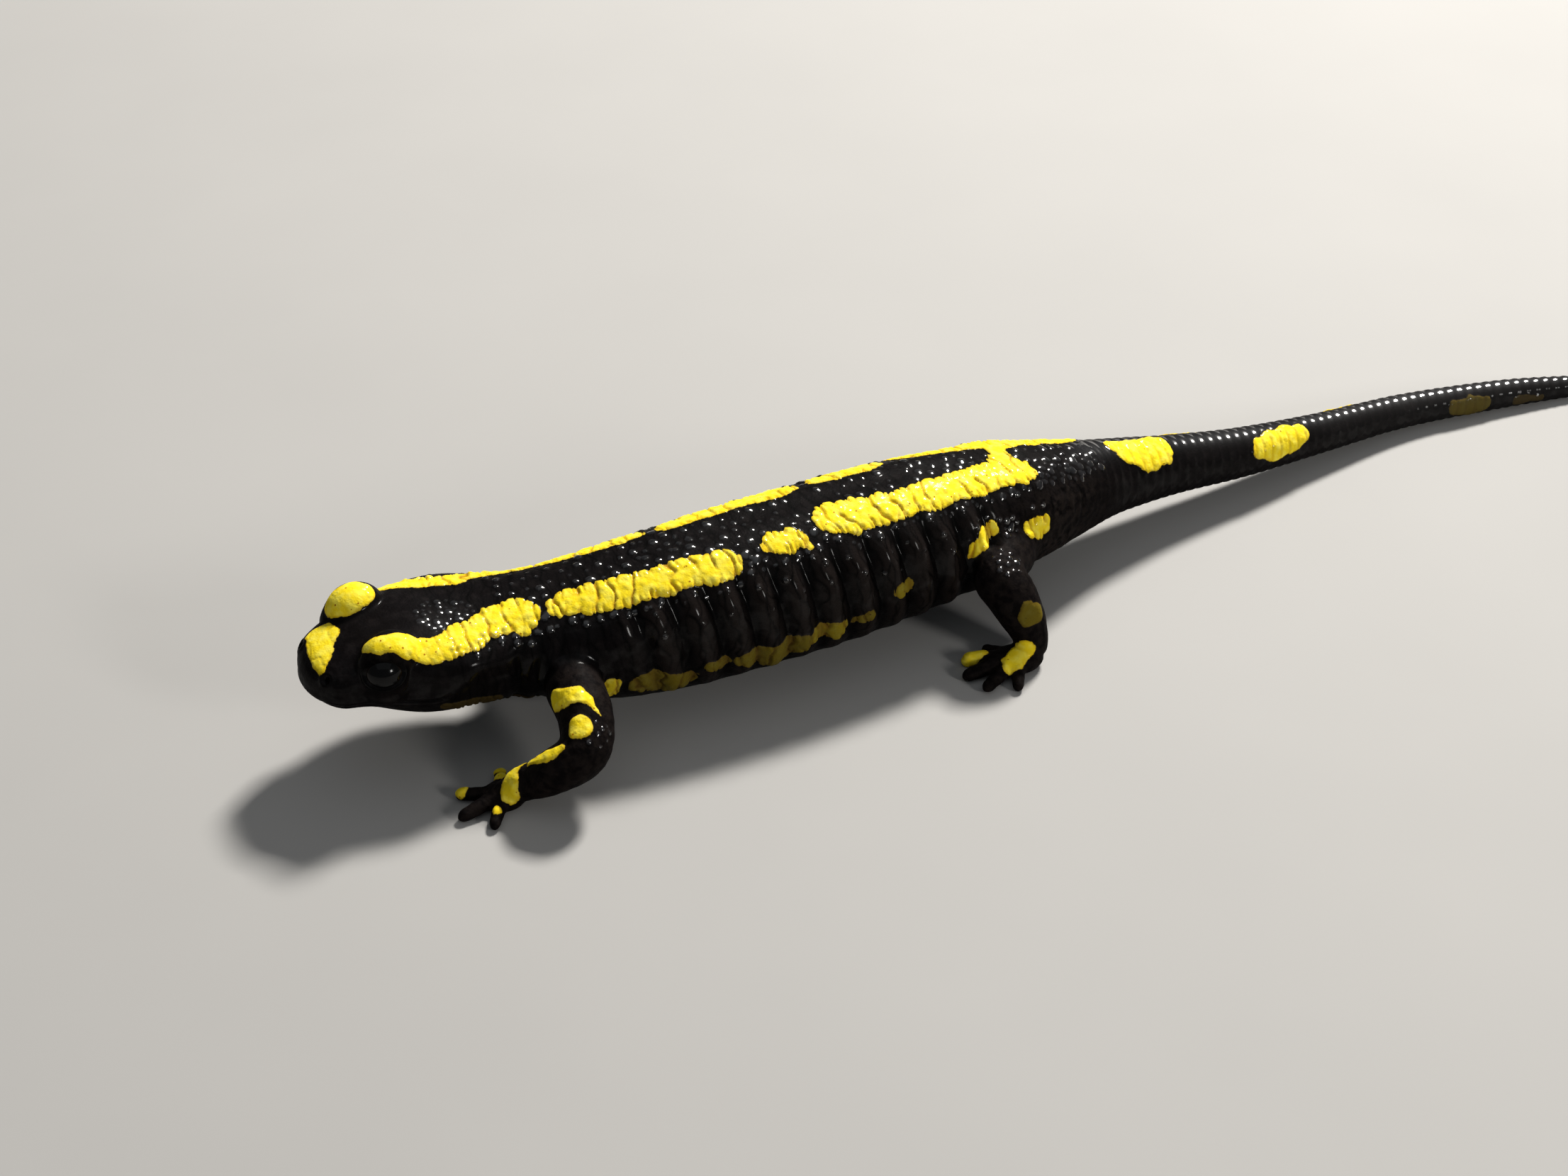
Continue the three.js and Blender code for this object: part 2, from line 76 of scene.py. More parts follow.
# Station, half width, height above the spine, depth below it, squareness.
SECTIONS = [
    (0, 5.2, 2.6, 3.1, 0.92), (4, 6.3, 3.1, 4.4, 0.9), (8.5, 7.8, 4.1, 6.3, 0.88),
    (13, 9.1, 4.8, 7.3, 0.88), (17, 9.8, 4.9, 7, 0.88), (21, 9.4, 5.3, 6.5, 0.9),
    (25.5, 8.5, 6.1, 7, 0.92), (31, 8.7, 7.1, 8, 0.94), (38, 9.4, 8.3, 9.5, 0.96),
    (47, 10, 9.2, 10.2, 0.97), (58, 10.4, 9.6, 10.2, 0.97), (69, 10.4, 9.6, 10, 0.97),
    (79, 9.9, 9.2, 9.4, 0.96), (87, 9, 8.5, 8.4, 0.95), (94, 8.2, 7.8, 7.5, 0.94),
    (99, 7.1, 7, 6.8, 0.94), (104, 6, 6.1, 6, 0.95), (109, 5.1, 5.3, 5.1, 0.96),
    (114, 4.6, 4.7, 4.5, 0.97), (122, 3.9, 4, 3.8, 0.98), (134, 3.3, 3.4, 3.3, 1),
    (149, 2.7, 2.8, 2.6, 1), (164, 2.3, 2.4, 2.3, 1), (179, 1.95, 2.05, 2, 1),
    (190, 1.5, 1.55, 1.5, 1), (203, 0.8, 0.8, 0.8, 1),
]
SNOUT_ROUND, TAIL_ROUND = 3.2, 2.0  # lengths over which the ends close

# The parotoid gland, cheek, snout's side, hollow of the brow, hip and vent, on both sides:
# station, angle, reach along, reach around, height.
SWELLINGS = [
    (19, 62, 4.2, 20, 0.7), (14.5, 100, 3.4, 26, 0.35), (4.8, 52, 2.6, 18, 0.35),
    (9, 0, 4.5, 22, -0.45), (92, 38, 3.5, 16, 0.4), (100.5, 180, 2.6, 28, 0.9),
]
LEAN_ANGLE = 60  # degrees around the body over which the ribs and cuts run tailward by their lean
COSTAL = Table(
    first=39.7, spacing=4.13, count=12, depth=1.05, roundness=0.7, level=0.75, line=0.7,
    fade_in=(-0.9, 0.3), fade_out=(0.1, 1.3),  # in ribs, before the first and before the last
    top=(34, 58), bottom=(150, 115), middle=80, lean=1.6,
)
BACK_FURROW = Table(start=30, end=94, depth=0.35, reach=9)

EYE_AT, EYE_RADIUS = (8.1, 5.6, 1.1), 2.8
EYE_SHELL = 0.5  # skin over the eyeball where the lids are closed
UPPER_LID = Table(at=(9, 5.1, 2.3), size=(3.6, 3.1, 3.15))
RIGHT_LID_LIFT = 0.45  # the head is rolled a little, so this lid stands higher
LOWER_LID = Table(at=(8.6, 6.1, -0.9), size=(3.4, 2.4, 1.8))
GAZE, OPEN_WIDTH, OPEN_HEIGHT = (-0.3, 0.86, 0.38), 2.45, 1.8  # tailward, out, up; half sizes
# Inside the opening the skin sinks under the eyeball, and the rim rises over it, the upper lid's more.
LID_REACH, LID_SINK, LID_FALL = 6.5, 0.4, (0.12, -0.28)
RIM = Table(
    at=0.4, width=0.35, height=0.35, upper=0.25, upper_from=(-0.2, 0.8), share=0.5,
    crease=0.05, crease_width=0.25,
)
CORNEA = Table(height=0.12, reach=32)  # the reach in degrees from the gaze
NOSTRIL = Table(station=1.9, angle=46, depth=0.75, reach=0.36, rim_at=0.75, rim_width=0.3, rim=0.12)
MOUTH = [(-1, -1.3), (1, -1.5), (4, -2.1), (8.5, -2.8), (12, -2.7), (14.6, -2)]  # station, height
MOUTH_FADE = (MOUTH[-1][0] + 0.4, MOUTH[-1][0] - 1.4)
MOUTH_LINE = (0.2, 0.5)  # width, depth
LIPS = [(0.75, 0.5, 0.26), (-0.7, 0.5, 0.06)]  # height above the line, width, how far it stands out

# Rows of station, out, height over the ground, radius, from the root to the wrist or ankle.
LEGS = {
    "fore_left": [
        (31, 3, 10.5, 3.6), (31.3, 9, 10.3, 3.5), (31.6, 14.5, 9.3, 3.3), (30.6, 18.4, 7.4, 3),
        (27, 18.4, 5.2, 2.6), (23.4, 16.9, 3, 2), (20.8, 15.9, 1.5, 1.5),
    ],
    "fore_right": [
        (31, 3, 10.5, 3.6), (32, 8.6, 9.7, 3.5), (33.2, 13.2, 8.2, 3.3), (33.4, 16.6, 6.2, 3),
        (30.6, 17.4, 4.6, 2.6), (27.4, 16.9, 2.9, 2), (24.9, 16.4, 1.5, 1.5),
    ],
    "hind_left": [
        (93, 2, 9.5, 4.2), (88.6, 7, 10, 3.9), (84.5, 11.2, 10.5, 3.35), (84.7, 13.8, 9, 3.2),
        (85.5, 15.3, 6.4, 2.85), (86.1, 16.3, 3.9, 2.3), (86.2, 16.8, 1.5, 1.9),
    ],
    "hind_right": [
        (93.5, 2, 9.5, 4.2), (92.4, 7, 9.6, 4), (91.4, 11, 9.3, 3.5), (91.4, 14, 7.9, 3.15),
        (92.2, 16, 6, 2.8), (93, 16.9, 3.7, 2.3), (93.1, 17.4, 1.5, 1.9),
    ],
}
# Digits: angle from straight ahead, positive outward, length from the middle of the palm, radius.
PALM = Table(
    size=(2.7, 2.6, 1.35), height=1.1, ahead=0,
    digits=[(-96, 5.2, 0.8), (-24, 5.9, 0.85), (20, 6.3, 0.9), (64, 5.6, 0.8)],
)
SOLE = Table(
    size=(3.5, 2.7, 1.4), height=1.15, ahead=2.1,
    digits=[(-66, 5.2, 0.85), (-34, 6.9, 0.95), (-6, 7.8, 1), (22, 7.4, 0.95), (56, 5.8, 0.85)],
)
# Share of a digit's length, share of its radius, height of its middle in radii.
DIGIT_RINGS = [
    (0.05, 1.1, 1.3), (0.2, 1.12, 1.3), (0.45, 1, 1.25), (0.6, 1.02, 1.12), (0.72, 0.92, 1),
    (0.88, 0.88, 0.88), (0.96, 0.66, 0.78), (1, 0.12, 0.68),
]

# ---- the yellow markings

# Each marking is a chain of round beads: station, angle, radius.
BACK_MARKS = [
    # left side, from the lid over the parotoid gland to the hip
    [(12.4, 50, 1.5), (15.1, 46, 1.9), (18.1, 36, 2.3), (20.6, 34, 2), (22.9, 27, 2.4),
     (25.2, 25, 2.2), (26.6, 30, 1.8), (27.4, 33, 1.1)],
    [(25, 32, 1.5), (26.2, 44, 0.9)],
    [(31, 27.5, 1.7), (34.2, 29, 2), (37.6, 30, 2.2), (41.2, 30, 2), (45, 31, 2),
     (48.4, 32, 2.2), (50.6, 33, 1.9)],
    [(56.9, 27, 1.5), (58.5, 29, 1.8), (59.6, 27, 1.5), (60.5, 31, 0.9)],
    [(60.3, 30, 0.9), (61, 38, 0.5)],
    [(65.5, 20.5, 2.6), (67.3, 23, 2.85), (70.2, 24, 2.35), (73.4, 25, 2.2), (77.8, 25, 2.2),
     (83, 24, 2.1), (88.2, 22, 2.3), (91.4, 23, 2.3), (93.2, 25, 1.6)],
    # right side
    [(12.2, -50, 1.3), (14.5, -42, 1.6), (16.8, -33, 1.7), (19.8, -29, 1.5), (22.4, -38, 1.2),
     (25.2, -42, 1.5), (28.5, -42, 1.7), (32, -42, 1.9), (36.9, -32, 2), (41, -28, 1.9), (43, -27, 1.3)],
    [(46.9, -24, 1.3), (49, -25, 1.9), (52.3, -26, 2.1), (58.6, -26, 2.2), (61.8, -26, 2.4),
     (63.3, -26, 1.7)],
    [(67.5, -25, 1.4), (70, -26, 2), (74, -26, 2.1), (75.6, -26, 1.5)],
    [(79.4, -33, 1.1), (82, -31, 1.6), (86.2, -29, 1.7), (90.5, -24, 1.8), (93, -17, 1.8),
     (96, -18, 1.6), (100, -19, 1.5), (103, -22, 1.4), (105.3, -27, 0.9)],
    # the bridge over the hips
    [(92, -14, 1.6), (91.5, 0, 1.5), (90.5, 12, 1.7)],
    # the crease of the left thigh, and both hips
    [(85, 67, 0.9), (84.4, 69, 1.15), (83.6, 72, 1.25), (82.6, 76, 1), (81.6, 83, 0.5)],
    [(90.9, 79, 1.35), (92.9, 81, 1.6)],
    [(93.5, -84, 1.3), (96, -90, 1.4)],
    # tail
    [(109.6, 8, 1.2), (111.4, 20, 2.3), (114.2, 26, 2.8), (116.6, 25, 2.5)],
    [(116.6, 20, 2.2), (117.4, 8, 1.6)],
    [(134.4, 56, 1.5), (137.2, 55, 2.2), (140.3, 50, 2.1), (142, 41, 1.6)],
    [(121, -62, 1.5), (124, -66, 2), (127.2, -62, 1.2)],
    [(151, -72, 1.4), (154.5, -68, 1.5)],
    # snout
    [(5, -14, 1.2), (4.3, -22, 1.9), (3.6, -9, 2), (2.8, 10, 1.5), (2.3, 24, 0.8)],
]
# Duller marks low on the flanks, throat and tail, painted darker as if in shade and partly duller in their
# own colour: how much so, then the beads.
DULL_AND_SHADED_MARKS = [
    (0.9, [(39, 111, 1.8), (41.8, 119, 2.5), (44.1, 122, 2)]),
    (0.9, [(46.5, 105, 0.8), (48.6, 110, 1.1)]),
    (0.9, [(50.9, 110, 1.3), (55.4, 117, 2.9), (58.2, 110, 1.9)]),
    (0.8, [(60.9, 106, 1.5), (63.1, 106, 1.7)]),
    (0.9, [(65.2, 104, 0.7), (67, 101, 1)]),
    (0.8, [(71.4, 88, 1.2), (72.9, 89, 1.1)]),
    (0.35, [(35.6, 108, 1.2), (35.3, 120, 1.3)]),
    (0.8, [(37, -112, 2), (40, -118, 2.7), (43, -112, 1.8)]),
    (0.8, [(48, -106, 1.3), (51.5, -114, 2.4)]),
    (0.8, [(57, -110, 1.5), (60.5, -116, 2.6), (64, -108, 1.7)]),
    (0.6, [(69.5, -96, 1.6), (72.5, -92, 1.4)]),
    (1, [(15, 114, 0.8), (18.5, 116, 1.2), (22.5, 124, 1.2)]),
    (1, [(25, 138, 0.9), (27.4, 136, 0.9)]),
    (1, [(13, -112, 1.2), (17, -110, 1.7), (21, -120, 1.6)]),
    (0.8, [(9, 172, 1.6), (13, 178, 2)]),
    (0.95, [(170.8, 82, 1.3), (173, 82, 1.7), (174.8, 82, 1.3)]),
    (1, [(181, 95, 0.8), (184.5, 100, 0.7)]),
]
# The yellow lids: station, out, up above the spine, radius.
LID_MARKS = {
    "left": [(6.9, 4.9, 4.4, 0.5), (8, 5.7, 4.5, 1.15), (9.6, 6.3, 4.3, 1.6), (11.2, 6.7, 3.7, 1.6),
             (12.6, 7, 3.4, 1.5), (13.4, 7.6, 2.6, 1.1)],
    "right": [(7.2, 4.9, 4, 1.6), (8, 4.3, 4.8, 2.15), (9, 4.3, 5, 2.05)],
}
# Spots on the left limbs: how much duller and painted shaded, then beads of station, out, height over the
# ground, radius.
LIMB_MARKS = [
    # the band over the upper arm, the elbow, the streak of the forearm and the wrist
    (0, [(28.9, 13, 11.2, 1.3), (29.9, 13.9, 12, 1.35), (30.9, 14.3, 12.5, 1.1),
         (31.7, 15.2, 12.5, 0.7), (32.1, 16.4, 11.9, 0.4), (32.5, 17.3, 11.4, 0.25)]),
    (0, [(30.4, 18.1, 10.9, 1.35)]),
    (0, [(24.5, 17.6, 5.9, 0.45), (25.4, 18.4, 7.1, 0.75), (26.6, 18.8, 7.8, 0.8),
         (27.5, 19, 8.5, 0.65), (28.2, 19.1, 9, 0.35)]),
    (0, [(23.7, 15.9, 4.4, 0.8), (22.6, 16.4, 3.9, 0.9), (22.3, 17.2, 3.4, 1.1), (21.9, 17.3, 2.3, 1.1)]),
    # the calf, heel and inner toe
    (0.9, [(84.9, 17.7, 8.2, 1.5), (85.9, 17.6, 8, 1.2)]),
    (0, [(84.8, 17.6, 3.1, 1.2), (83.9, 17.6, 2.4, 1.45), (82.6, 18, 2.1, 1.3), (81.6, 18.6, 1.9, 0.8)]),
    (0, [(80.5, 14, 1.7, 0.9), (79.5, 14.1, 1.4, 1.1), (78.9, 13.7, 0.8, 0.8)]),
]
# Along a leg: place in rows, angle round the leg from its outer level side toward its top, radius.
LEG_MARKS = {
    "fore_right": [
        [(1.3, 20, 1.2), (1.6, 70, 1.7), (1.9, 115, 1.3)], [(2.9, 60, 1.3)],
        [(4.1, 80, 0.9), (4.7, 90, 0.6)], [(5.6, 80, 1.1), (6, 60, 1.2)],
    ],
    "hind_right": [
        [(1.3, 60, 1.2), (1.7, 95, 1.3)], [(3.3, 20, 1.3), (3.6, 45, 1.1)],
        [(5.6, 60, 1.2), (6, 80, 1.5)],
    ],
}
DIGIT_TOP = 1.6  # where the digits' marks are laid, in radii over the ground
# On the digits: which digit counted from the inner side, share of its length, radius.
DIGIT_MARKS = {
    "fore_left": [(0, 0.5, 1), (0, 0.9, 0.9), (1, 0.86, 1), (3, 0.6, 0.8)],
    "fore_right": [(1, 0.6, 0.9), (2, 0.95, 0.8), (3, 0.5, 0.9)],
    "hind_left": [(1, 0.9, 0.7)],
    "hind_right": [(1, 0.6, 1.1), (2, 0.85, 1), (4, 0.6, 1)],
}

# ---- mesh fineness and relief

VOXEL = 0.17
BODY_SIDES, BODY_STEP = 96, 0.5
SNOUT_RINGS = [0.03, 0.12, 0.3, 0.55, 0.9, 1.3]  # stations, close together where the snout closes
TIP_RINGS = [1.6, 1.2, 0.8, 0.5, 0.25, 0.1, 0.03]  # distances from the tail's end
LEG_SIDES, LEG_STEP = 28, 0.08
DIGIT_SIDES, DIGIT_STEP = 16, 0.04
EYE_SIDES, EYE_RINGS = 64, 40
SPINE_SAMPLES, LEG_SAMPLES = 821, 300
FAR = 1e9  # farther than any distance measured

# The first smoothing takes the remesh's squares away, the second flows each leg into the trunk and
# softens its bend. Places along a leg are counted in rows.
SQUARES_SMOOTHING = Table(rounds=14, share=0.6)
ROOT_SMOOTHING = Table(rounds=100, reach=1.7, end=2.4, bend=2.3, bend_share=0.35, outside=(0.4, 1))
TRUNK_BLEND = (0.35, 1.6)  # distances outside the trunk over which its relief fades on the limbs
TAIL_BLEND, HEAD_BLEND = (100, 107), (12, 18)  # stations
HIP, FLANK = Table(station=97, reach=7.5, angles=(35, 65)), Table(angles=(45, 80), stations=(28, 36))
LIMB_FROM = 0.6  # place along a leg

PAD = Table(height=0.18, rise=(0.22, -0.28), grain=0.05, grain_size=0.8)  # how a yellow mark stands up
FRAY = [(0.34, 1.7, 4), (0.16, 0.7, 5)]  # how far the yellow's edge wanders, over what size, noise seed
ON_HEAD = Table(height=0.5, grain=0.6, cuts=0.8)  # shares by which these are less on the head
# Sets of cuts across the yellow: spacing, width, wander, depth, noise seed, only near the edges.
CUTS = [(2.3, 0.17, 1.0, 0.28, 11, False), (1.25, 0.13, 0.9, 0.2, 12, True)]
CUT_FORM = Table(
    lean=1.1, near_edge=(-1.5, -0.3), size=3.0, ripple=0.4, ripple_size=1.1,
    gaps=(-0.45, 0.25), gap_size=2.1, edge_share=0.5,  # a cut is broken where a noise is low
)
CUT_NOTCH, CUT_SHADE = 1.2, 3.5  # how far a cut draws in the edge and how dark the shade painted in it is, for each mm of depth
TAIL_RINGS = Table(spacing=1.55, width=0.2, wander=0.14, size=3.0, cushion=0.045, yellow=0.1, notch=0.06)
NECK_FOLDS = [(25.4, 0.45, 0.9), (28.2, 0.3, 0.9)]  # station, depth, width
NECK = Table(wander=0.6, size=4.5, angles=(48, 95))
CRINKLE = Table(hip=0.1, flank=0.03, limb=0.04, size=1.3, sharpness=2.2, warp=0.6, warp_size=2.0)
CREST_PAINTED_LIGHT, LIMB_BROWN, LINE_SHADE = 0.8, 0.6, 0.7  # how much lighter brown the ribs' crests are painted as if lit, how brown the limbs are, and how dark the shade painted between the ribs is

BLACK_SKIN = (0.5, 99)  # distances outside the yellow's edge
# Least distance apart, radius, height, wetness, and for a band its stations, angles from the back and
# distances outside the yellow's edge. The order sets the seeds.
GRANULES = {
    "back": (1.4, 0.68, 0.18, 1.0, (42, 106), (0, 44), BLACK_SKIN),
    "neck": (1.45, 0.66, 0.27, 1.0, (23, 42), (0, 50), BLACK_SKIN),
    "edge": (1.6, 0.58, 0.23, 1.0, (18, 94), (34, 62), (0.5, 1.2)),
    "gland": (0.8, 0.62, 0.16, 1.0),
    "hip": (0.95, 0.66, 0.17, 1.0),
    "flank": (2.4, 0.5, 0.24, 0.6, (23, 96), (50, 74), BLACK_SKIN),
    "joint": (0.85, 0.52, 0.2, 1.0),
    "yellow": (1.1, 0.6, 0.09, 0.3, (10, LENGTH), (0, 180), (-99, -0.45)),
    "gland rim": (0.75, 0.6, 0.25, 1.0, (15.5, 24), (37, 60), (-1.35, -0.15)),
}
GRANULE_SIZES = Table(least=0.4, spread=0.7, power=1.5)  # shares of the radius, small ones more often
GRANULE_SEED = 100
WET_DOME = (0.35, 0.65)  # shares of a granule's height over which it gets wet
# Round patches: station, reach along, angle, reach around. The gland's is on the left only.
GLAND_PATCH, HIP_PATCH = (16.6, 3.8, 13, 17), (100, 6.5, 33, 16)
TRUNK_ONLY, CREST_ONLY, FACING_UP = 0.9, 0.45, 0.5  # least values where some grow
BARE_PATCHES = Table(size=3.2, seed=51, below=-0.4)
# Where granules crowd on an elbow or knee: side, station, out, height over the ground, reach.
JOINT_SPOTS = [
    ("left", 31.9, 18.9, 10.2, 1.7), ("left", 84.8, 12.9, 13.3, 2.0), ("left", 88.0, 8.4, 14.5, 1.3),
    ("right", 33.4, 16.0, 9.2, 1.7), ("right", 91.4, 12.5, 12.4, 2.0),
]
TAIL_FILM = Table(middle=8, reach=20)  # the wet strip along the tail's top, in degrees

# ---- tables, spine and sections


def read_table(rows, key):
    """Reads rows that start with their key at many keys, by a smooth curve through the rows."""
    table = np.asarray(rows, float)
    keys, values = table[:, 0], table[:, 1:]
    slopes = np.empty_like(values)
    slopes[1:-1] = (values[2:] - values[:-2]) / (keys[2:] - keys[:-2])[:, None]
    slopes[0] = (values[1] - values[0]) / (keys[1] - keys[0])
    slopes[-1] = (values[-1] - values[-2]) / (keys[-1] - keys[-2])
    k = np.clip(np.atleast_1d(np.asarray(key, float)), keys[0], keys[-1])
    i = np.clip(np.searchsorted(keys, k, side="right") - 1, 0, len(keys) - 2)
    h = (keys[i + 1] - keys[i])[:, None]
    u = (k - keys[i])[:, None] / h
    return (
        (1 + 2 * u) * (1 - u) ** 2 * values[i]
        + u * (1 - u) ** 2 * h * slopes[i]
        + u * u * (3 - 2 * u) * values[i + 1]
        + u * u * (u - 1) * h * slopes[i + 1]
    )


def unit(vectors):
    return vectors / np.linalg.norm(vectors, axis=-1, keepdims=True)


def dot(a, b):
    return (a * b).sum(-1)


def bell(x):
    return np.exp(-x * x)


def smooth_step(low, high, x):
    u = np.clip((x - low) / (high - low), 0, 1)
    return u * u * (3 - 2 * u)


def spine_frame(station):
    """The spine's points at stations, with the directions tailward, to the animal's right, and up."""
    s = np.atleast_1d(np.asarray(station, float))
    reach = 0.5
    tailward = unit(read_table(SPINE, s + reach) - read_table(SPINE, s - reach))
    right = unit(np.cross(VERTICAL, tailward))
    up = np.cross(tailward, right)
    return Table(origin=read_table(SPINE, s), tailward=tailward, right=right, up=up)


def on_body(place, side):
    """A point given as station, out toward a side, and up from the spine."""
    station, out, up = place
    f = spine_frame(station)
    return (f.origin - side * out * f.right + up * f.up)[0]


def over_ground(stations, out, height, side):
    f = spine_frame(stations)
    points = f.origin - side * np.atleast_1d(out)[:, None] * f.right
    points[:, 2] = height
    return points


def side_of(leg):
    return SIDES[leg.split("_")[1]]


def section(station):
    return read_table(SECTIONS, station).T


def closing(station):
    """How far the section is closed toward the snout and the tail's tip, from 0 to 1."""

    def close(distance, length):
        return np.sqrt(np.clip(1 - np.clip(1 - distance / length, 0, 1) ** 2, 0, 1))

    return close(station, SNOUT_ROUND) * close(LENGTH - station, TAIL_ROUND)


def swelling(station, angle):
    a = np.abs(angle)
    return sum(
        rise * bell((station - s) / along) * bell((a - centre) / around)
        for s, centre, along, around, rise in SWELLINGS
    )


def skin_points(stations, angles):
    """The smooth skin at each pair of station and angle."""
    s = np.asarray(stations, float)
    a = np.radians(angles)
    width, top, bottom, square = section(s)
    f = closing(s)
    sine, cosine = np.sin(a), np.cos(a)
    across = width * f * np.sign(sine) * np.abs(sine) ** square
    upward = np.where(cosine > 0, top, bottom) * f * np.sign(cosine) * np.abs(cosine) ** square
    radius = np.maximum(np.hypot(across, upward), 0.05)
    scale = 1 + swelling(s, np.asarray(angles)) / radius
    axis = spine_frame(s)
    return axis.origin - (across * scale)[:, None] * axis.right + (upward * scale)[:, None] * axis.up


def leg_frame(leg, place):
    """A leg's middle at places counted in rows, with its radius, level and upright directions."""
    rows = [(i, *row) for i, row in enumerate(LEGS[leg])]

    def middle(t):
        station, out, height, _ = read_table(rows, t).T
        return over_ground(station, out, height, side_of(leg))

    t = np.atleast_1d(np.asarray(place, float))
    reach = 0.05
    along = unit(middle(t + reach) - middle(t - reach))
    level = unit(np.cross(along, VERTICAL))
    upright = np.cross(level, along)
    return Table(origin=middle(t), radius=read_table(rows, t)[:, 3], level=level, upright=upright)


def paw_frame(leg):
    """The middle of a palm or sole, with the directions ahead and outward."""
    station, out = LEGS[leg][-1][:2]
    form = PALM if leg.startswith("fore") else SOLE
    f = spine_frame(station)
    ahead = unit(-f.tailward[0] * [1, 1, 0])
    middle = over_ground(station, out, form.height, side_of(leg))[0] + ahead * form.ahead
    return Table(middle=middle, ahead=ahead, outward=-side_of(leg) * f.right[0], form=form)


# ---- closed shells of the smooth animal


def tube(rings, start, end):
    """Points and faces of a closed tube through rings of equal count, with a fan over each end."""
    rows, count = rings.shape[:2]
    points = np.concatenate([rings.reshape(-1, 3), [start], [end]])
    sides = [(j, (j + 1) % count) for j in range(count)]
    last = (rows - 1) * count
    faces = [(i + j, i + k, i + k + count, i + j + count) for i in range(0, last, count) for j, k in sides]
    for j, k in sides:
        faces += [(last + count, k, j), (last + count + 1, last + j, last + k)]
    return points, faces


def ellipsoid(middle, size, axes, around=40, tall=24):
    """A closed ellipsoid with half sizes along three axes."""
    latitudes = np.linspace(-math.pi / 2, math.pi / 2, tall + 2)[1:-1]
    turn = np.arange(around) * 2 * math.pi / around
    wide, high = np.cos(latitudes)[:, None], np.sin(latitudes)[:, None]
    rings = np.stack([wide * np.cos(turn), wide * np.sin(turn), high * np.ones(around)], -1)
    basis = np.asarray(axes) * np.asarray(size, float)[:, None]
    return tube(middle + rings @ basis, middle - basis[2], middle + basis[2])


def round_rings(centres, radius, across, upright, sides):
    """A ring of points round each centre."""
    turn = np.arange(sides) * 2 * math.pi / sides
    wide, high = radius[:, None] * np.cos(turn), radius[:, None] * np.sin(turn)
    return centres[:, None] + wide[..., None] * across + high[..., None] * upright


def body_shell():
    evenly = np.arange(SNOUT_RINGS[-1] + BODY_STEP, LENGTH - TAIL_ROUND, BODY_STEP)
    stations = np.concatenate([SNOUT_RINGS, evenly, [LENGTH - d for d in TIP_RINGS]])
    angles = np.arange(BODY_SIDES) * 360 / BODY_SIDES - 180
    s, a = np.meshgrid(stations, angles, indexing="ij")
    rings = skin_points(s.ravel(), a.ravel()).reshape(*s.shape, 3)
    return tube(rings, spine_frame(0).origin[0], spine_frame(LENGTH).origin[0])


def spine_axes(station):
    f = spine_frame(station)
    return f.tailward[0], f.right[0], f.up[0]


def lid_shells(side):
    ball = Table(at=EYE_AT, size=[EYE_RADIUS + EYE_SHELL] * 3)
    lift = RIGHT_LID_LIFT if side == RIGHT else 0
    for form, rise in ((ball, 0), (UPPER_LID, lift), (LOWER_LID, 0)):
        station, out, up = form.at
        yield ellipsoid(on_body((station, out, up + rise), side), form.size, spine_axes(station))


def leg_shell(leg):
    places = np.arange(0, len(LEGS[leg]) - 1 + LEG_STEP / 2, LEG_STEP)
    f = leg_frame(leg, places)
    rings = round_rings(f.origin, f.radius, f.level[:, None], f.upright[:, None], LEG_SIDES)
    return tube(rings, f.origin[0], f.origin[-1])


def digit_direction(paw, angle):
    a = math.radians(angle)
    return math.cos(a) * paw.ahead + math.sin(a) * paw.outward


def paw_shells(leg):
    paw = paw_frame(leg)
    yield ellipsoid(paw.middle, paw.form.size, (paw.ahead, paw.outward, VERTICAL))
    shares = np.arange(DIGIT_RINGS[0][0], 1 + DIGIT_STEP / 2, DIGIT_STEP)
    wide, high = read_table(DIGIT_RINGS, shares).T
    for angle, length, radius in paw.form.digits:
        along = digit_direction(paw, angle)
        across = np.cross(along, VERTICAL)
        centres = paw.middle + (shares * length)[:, None] * along
        centres[:, 2] = radius * high
        rings = round_rings(centres, radius * wide, across, VERTICAL, DIGIT_SIDES)
        yield tube(rings, centres[0], centres[-1])


def all_shells():
    yield body_shell()
    for side in (LEFT, RIGHT):
        yield from lid_shells(side)
    for leg in LEGS:
        yield leg_shell(leg)
        yield from paw_shells(leg)


def put_in_scene(name, data):
    made = bpy.data.objects.new(name, data)
    SCENE.collection.objects.link(made)
    return made


def mesh_from(name, points, faces):
    mesh = bpy.data.meshes.new(name)
    mesh.from_pydata(np.asarray(points).tolist(), [], [tuple(map(int, f)) for f in faces])
    mesh.update()
    return mesh


def fuse(shells):
    """One closed skin of small squares round the shells."""
    points, faces = np.empty((0, 3)), []
    for p, f in shells:
        faces += [tuple(len(points) + i for i in face) for face in f]
        points = np.concatenate([points, p])
    joined = put_in_scene("shells", mesh_from("shells", points, faces))
    remesh = joined.modifiers.new("fuse", "REMESH")
    remesh.mode = "VOXEL"
    remesh.voxel_size = VOXEL
    remesh.adaptivity = 0
    evaluated = joined.evaluated_get(bpy.context.evaluated_depsgraph_get())
    mesh = evaluated.to_mesh()
    vertices = np.empty(len(mesh.vertices) * 3)
    mesh.vertices.foreach_get("co", vertices)
    corners = np.empty(len(mesh.loops), np.int32)
    mesh.loops.foreach_get("vertex_index", corners)
    evaluated.to_mesh_clear()
    bpy.data.objects.remove(joined)
    return Surface(vertices.reshape(-1, 3), corners.reshape(-1, 4))


